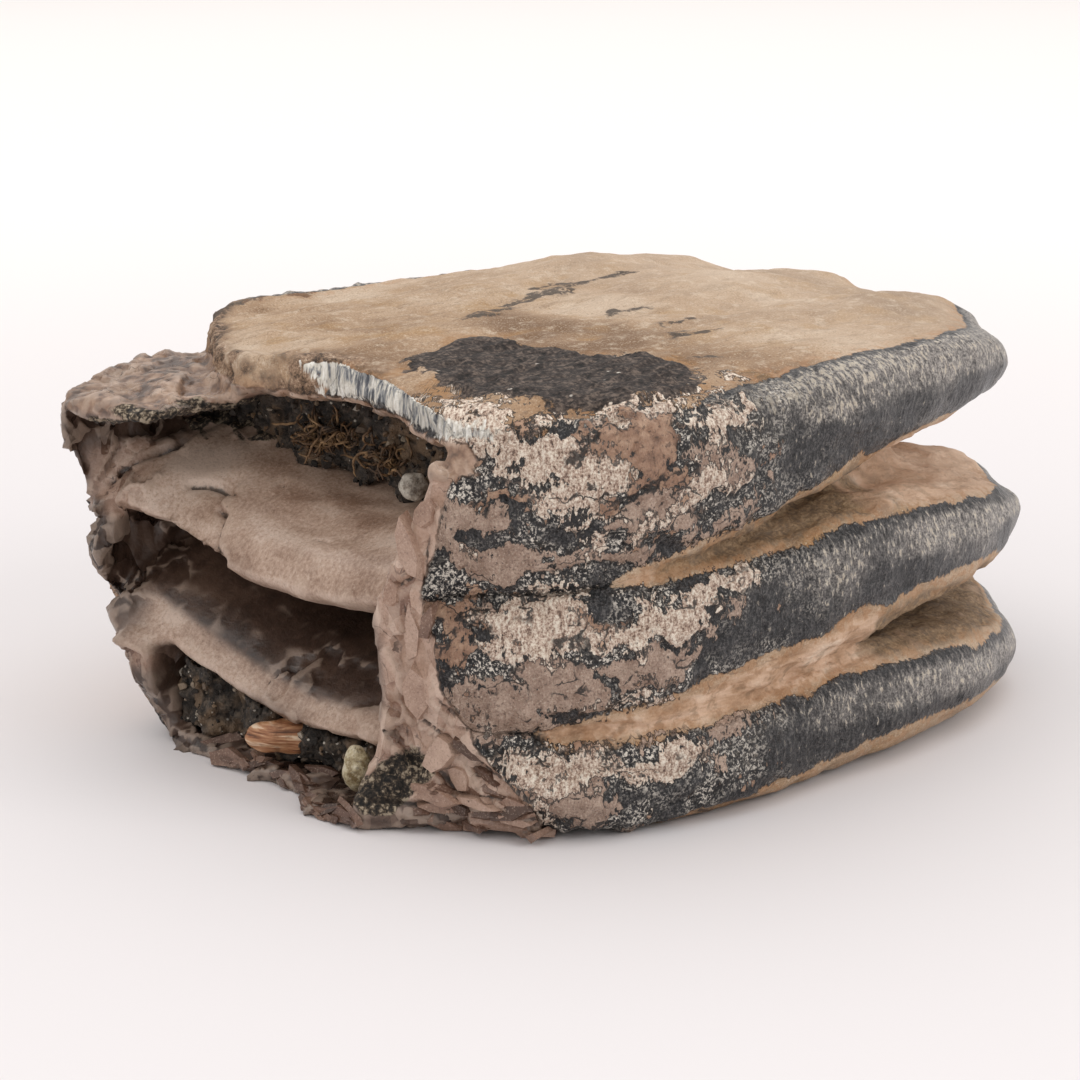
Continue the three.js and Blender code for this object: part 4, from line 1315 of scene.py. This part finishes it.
def shard_material():
    material, paint, shader = new_material("dentine_shard")
    grit, fine, small = paint.group(grain_group(), paint.place())
    color = paint.ramp(
        paint.blend(0.3, paint.field("tint"), small),
        (0.10, 52, 37, 30), (0.35, 98, 72, 59), (0.60, 156, 126, 109), (0.85, 200, 172, 154))
    color = paint.specks(color, grit, srgb(70, 50, 40), 0.35, srgb(216, 194, 176), 0.30)
    finish_shader(paint, shader, color, paint.blend(small, 0.22, 0.5), fine * 0.08)
    return material


def grit_material(name, settings):
    material, paint, shader = new_material(name)
    place = paint.place()
    grit, fine, small = paint.group(grain_group(), place)
    crumb, crumb_tint = paint.group(facet_group(), place, (0.9, 0.9, 0.8))
    color = paint.ramp(
        paint.blend(0.5, fine, small),
        (0.36, tuple(settings.dark)), (0.50, tuple(settings.middle)), (0.62, tuple(settings.pale)))
    color = paint.layers(
        color, (paint.field("tint").step(0.55, 0.85), srgb(112, 92, 72)),
        (paint.dots(place, 1.1).step(0.16, 0.09), srgb(196, 188, 176)),
        # painted shade: the grit's hollows are darkened almost to black
        (paint.field("form").step(0.0, -0.35) * 0.8, srgb(20, 17, 15)))
    height = grit * 0.2 + small * 0.3 + crumb * 0.6
    finish_shader(paint, shader, color, paint.blend(crumb_tint, 0.45, 0.95), height)
    return material


def grain_material():
    material, paint, shader = new_material("fossil_grains")
    fine = paint.group(grain_group(), paint.place())[1]
    tint = paint.field("tint")
    color = paint.ramp(
        tint, (0.0, 34, 30, 27), (0.45, 62, 54, 47), (0.62, 98, 82, 66), (0.80, 128, 104, 80), (0.96, 150, 138, 122),
        (1.0, 206, 198, 186))
    color = paint.mix(fine.step(0.5, 0.7) * 0.4, color, srgb(40, 35, 30))
    finish_shader(paint, shader, color, paint.blend(tint, 0.9, 0.35), fine * 0.1)
    return material


def root_material():
    material, paint, shader = new_material("dry_root")
    small = paint.group(grain_group(), paint.place())[2]
    color = paint.ramp(small, (0.35, 46, 34, 25), (0.5, 92, 68, 45), (0.65, 148, 118, 84))
    finish_shader(paint, shader, color, paint.blend(small, 0.6, 0.85), small * 0.05)
    return material


class FossilSedimentSettings(bpy.types.PropertyGroup):
    voxel: bpy.props.FloatProperty(
        name="Voxel", description="Size of the surface's first squares, in mm", default=0.34, min=0.2)
    dark: bpy.props.FloatVectorProperty(
        name="Dark", description="Colour of the darkest grit", subtype="COLOR", default=srgb(26, 23, 21))
    middle: bpy.props.FloatVectorProperty(
        name="Middle", description="Colour of most of the grit", subtype="COLOR", default=srgb(56, 49, 43))
    pale: bpy.props.FloatVectorProperty(
        name="Pale", description="Colour of the palest grit", subtype="COLOR", default=srgb(94, 82, 70))


class FossilGrainsSettings(bpy.types.PropertyGroup):
    count: bpy.props.IntProperty(name="Count", description="Grains on each fill", default=900, min=1)
    size: bpy.props.FloatProperty(name="Size", description="Mean size of a grain, in mm", default=0.5, min=0.1)
    seed: bpy.props.IntProperty(name="Seed", description="Which random set of grains", default=7)


class FossilShardsSettings(bpy.types.PropertyGroup):
    count: bpy.props.IntProperty(name="Count", description="How many small shards", default=130, min=0)
    size: bpy.props.FloatProperty(
        name="Size", description="Half length of a small shard, in mm", default=1.1, min=0.1)
    seed: bpy.props.IntProperty(name="Seed", description="Which random set of shards", default=5)


class FossilRootsSettings(bpy.types.PropertyGroup):
    count: bpy.props.IntProperty(name="Count", description="How many fibres", default=150, min=1)
    points: bpy.props.IntProperty(name="Points", description="Number of points along a fibre", default=12, min=3)
    thickness: bpy.props.FloatProperty(name="Thickness", description="Thickness of a fibre, in mm", default=0.2)
    seed: bpy.props.IntProperty(name="Seed", description="Which random set of fibres", default=11)


# ---------------------------------------------------------------- pebbles and shell

class FossilStones(bpy.types.Operator):
    """Makes the two pebbles and the shell fragment that lie in the sediment"""

    bl_idname = "fossil.stones"
    bl_label = "Pebbles and shell"

    def execute(self, context):
        settings = context.scene.fossil_stones
        stones = (
            ("pebble_white", "pebble_white", 0.22, (1.2, 1.25, 1.15), (-0.9, -0.9, 0.5), stone_material(
                "grey_pebble", srgb(168, 160, 148), srgb(206, 201, 190), srgb(96, 86, 76))),
            ("pebble_cream", "pebble_cream", 0.16, (1.0, 1.05, 1.1), (-0.3, 0.0, 0.0), stone_material(
                "cream_pebble", srgb(186, 172, 138), srgb(220, 211, 188), srgb(122, 102, 66))),
            ("shell_orange", "shell", 0.14, (1.2, 1.5, 1.2), (-0.6, -1.3, 0.1), shell_material(settings)),
        )
        for seed, (node, slot, roughness, growth, shift, material) in enumerate(stones):
            piece = copy_of_node(node, node + "_stone" if slot != "shell" else "shell_fragment")
            remesh(piece, settings.voxel)
            smooth(piece, 6)
            mesh = piece.data
            points = read_points(mesh)
            normals = read(mesh.vertices, "normal")
            if slot == "shell":
                relief = roughness * (noise(points, (4.0, 4.0, 0.7), 61, 2) + 2.0 * noise(points, 2.2, 66, 2))
            else:
                relief = roughness * (noise(points, 1.6, 62 + seed, 3) + 0.3 * noise(points, 0.5, 65))
            points = points + normals * relief[:, None]
            middle = (points.max(axis=0) + points.min(axis=0)) / 2
            write_points(mesh, middle + (points - middle) * growth + shift)
            # convexity, for the painted shade in the hollows
            store(mesh, "form", convexity(mesh, read_points(mesh), 6))
            shade_smooth(mesh)
            mesh.materials.append(material)
            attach(piece, "root")
            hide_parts(node)
        return {"FINISHED"}


def stone_material(name, dull, pale, stained):
    material, paint, shader = new_material(name)
    grit, fine, small = paint.group(grain_group(), paint.place())
    color = paint.layers(
        paint.ramp(small, (0.36, stained), (0.48, dull), (0.62, pale)),
        # the second layer is painted shade: hollows darkened to the stained colour
        (fine.step(0.56, 0.70) * 0.6, srgb(70, 60, 52)), (paint.field("form").step(0.0, -0.06) * 0.7, stained))
    color = paint.specks(color, grit, stained, 0.5, pale, 0.4)
    finish_shader(paint, shader, color, paint.blend(small, 0.45, 0.7), fine * 0.12)
    return material


def shell_material(settings):
    material, paint, shader = new_material("orange_shell")
    place = paint.place()
    growth = paint.noise(paint.scaled(place, (1 / 5.0, 1 / 5.0, 1 / 0.5)), 1.0, 4, 0.6, 0.4)
    small = paint.group(grain_group(), place)[2]
    color = paint.ramp(
        growth, (0.36, 84, 52, 34), (0.46, tuple(settings.shell)), (0.55, 188, 140, 102), (0.64, 226, 200, 172))
    color = paint.mix(small.step(0.55, 0.72) * 0.5, color, srgb(98, 62, 40))
    finish_shader(paint, shader, color, paint.blend(small, 0.35, 0.6), growth * 0.2)
    return material


class FossilStonesSettings(bpy.types.PropertyGroup):
    voxel: bpy.props.FloatProperty(
        name="Voxel", description="Size of the surface's first squares, in mm", default=0.16, min=0.1)
    shell: bpy.props.FloatVectorProperty(
        name="Shell", description="Colour of the shell", subtype="COLOR", default=srgb(152, 100, 66))


# ---------------------------------------------------------------- stage

# the soft lights: name, place and side in metres, and the setting of its power; all are turned to one point
LIGHTS = (
    ("soft_top", (0.30, 0.40, 1.60), 3.0, "top_power"),
    ("soft_left", (-0.75, 0.05, 0.45), 0.5, "left_power"),
    ("soft_right", (0.25, -0.75, 0.5), 0.4, "right_power"),
)
LIT_POINT = (0, 0, 0.02)
LIGHT_BOUNCES = {"max_bounces": 3, "diffuse_bounces": 2, "glossy_bounces": 2}
SENSOR = 36  # the width of the camera's picture, in mm


def floor_material():
    """White paper with a painted shadow: a little darker round the fossil."""
    material, paint, shader = new_material("paper_floor")
    away = paint.node("ShaderNodeVectorMath", {0: paint.place()}, output=1, operation="LENGTH")
    # painted shadow round the fossil, fading out by 480 mm
    color = paint.mix(away.step(60.0, 480.0), srgb(234, 230, 231), srgb(254, 250, 248))
    finish_shader(paint, shader, color, 0.8, specular=0.2)
    return material


class FossilStage(bpy.types.Operator):
    """Makes the pale floor, the soft lights and the camera"""

    bl_idname = "fossil.stage"
    bl_label = "Stage"

    def execute(self, context):
        settings = context.scene.fossil_stage
        work = bmesh.new()
        bmesh.ops.create_grid(work, x_segments=1, y_segments=1, size=settings.floor_size / 2)
        floor = new_piece("floor", work, floor_material())

        world = bpy.data.worlds.new("studio")
        context.scene.world = world
        world.use_nodes = True
        background = world.node_tree.nodes["Background"]
        background.inputs["Color"].default_value = (*srgb(255, 251, 248), 1)
        background.inputs["Strength"].default_value = settings.ambient
        for name, place, size, power in LIGHTS:
            light = bpy.data.lights.new(name, "AREA")
            light.size = size
            light.energy = getattr(settings, power)
            lamp = bpy.data.objects.new(name, light)
            lamp.location = place
            lamp.rotation_euler = (Vector(LIT_POINT) - Vector(place)).to_track_quat("-Z", "Y").to_euler()
            context.collection.objects.link(lamp)

        heading, pitch = math.radians(settings.heading), math.radians(settings.pitch)
        forward = Vector((
            math.cos(heading) * math.cos(pitch), math.sin(heading) * math.cos(pitch), -math.sin(pitch),
        ))
        camera_data = bpy.data.cameras.new("camera")
        camera_data.lens = settings.lens
        camera_data.sensor_width = SENSOR
        camera = bpy.data.objects.new("camera", camera_data)
        camera.location = Vector(settings.camera_place) * MM
        camera.rotation_euler = forward.to_track_quat("-Z", "Y").to_euler()
        context.collection.objects.link(camera)
        context.scene.camera = camera
        context.scene.view_settings.view_transform = "Standard"
        for kind, bounces in LIGHT_BOUNCES.items():
            setattr(context.scene.cycles, kind, bounces)
        return {"FINISHED"}


class FossilStageSettings(bpy.types.PropertyGroup):
    floor_size: bpy.props.FloatProperty(
        name="Floor", description="Side of the square floor", default=8.0, unit="LENGTH")
    ambient: bpy.props.FloatProperty(name="Ambient", description="Strength of the light all round", default=0.60)
    top_power: bpy.props.FloatProperty(name="Top light", description="Power of the light above", default=25.0)
    left_power: bpy.props.FloatProperty(name="Left light", description="Power of the light at the left", default=0.8)
    right_power: bpy.props.FloatProperty(
        name="Right light", description="Power of the light at the right", default=1.8)
    heading: bpy.props.FloatProperty(
        name="Heading", description="The camera's direction from +X towards +Y, in degrees", default=42.9)
    pitch: bpy.props.FloatProperty(name="Pitch", description="How far it looks down, in degrees", default=14.8)
    lens: bpy.props.FloatProperty(name="Lens", description="Focal length in mm", default=87.17)
    camera_place: bpy.props.FloatVectorProperty(
        name="Camera place", description="Where the camera stands, in mm", default=(-209.69, -184.99, 90.47))


# ---------------------------------------------------------------- panel and run

class FossilPanel(bpy.types.Panel):
    """Lists the fossil's parts and their settings"""

    bl_idname = "VIEW3D_PT_fossil"
    bl_label = "Fossil Molar"
    bl_space_type = "VIEW_3D"
    bl_region_type = "UI"
    bl_category = "Fossil"

    def draw(self, context):
        for group, operator, _ in STEPS:
            box = self.layout.box()
            box.operator(operator.bl_idname)
            settings = getattr(context.scene, group)
            for name in settings.__annotations__:
                box.prop(settings, name)


STEPS = (
    ("fossil_stage", FossilStage, FossilStageSettings),
    ("fossil_tooth", FossilTooth, FossilToothSettings),
    ("fossil_shards", FossilShards, FossilShardsSettings),
    ("fossil_sediment", FossilSediment, FossilSedimentSettings),
    ("fossil_grains", FossilGrains, FossilGrainsSettings),
    ("fossil_roots", FossilRoots, FossilRootsSettings),
    ("fossil_stones", FossilStones, FossilStonesSettings),
)


def register():
    for name, operator, settings in STEPS:
        bpy.utils.register_class(settings)
        setattr(bpy.types.Scene, name, bpy.props.PointerProperty(type=settings))
        bpy.utils.register_class(operator)
    bpy.utils.register_class(FossilPanel)


def unregister():
    bpy.utils.unregister_class(FossilPanel)
    for name, operator, settings in reversed(STEPS):
        bpy.utils.unregister_class(operator)
        delattr(bpy.types.Scene, name)
        bpy.utils.unregister_class(settings)


def main():
    register()
    bpy.ops.fossil.stage()
    bpy.ops.fossil.tooth()
    bpy.ops.fossil.shards()
    bpy.ops.fossil.sediment()
    bpy.ops.fossil.grains()
    bpy.ops.fossil.roots()
    bpy.ops.fossil.stones()


if __name__ == "__main__":
    main()
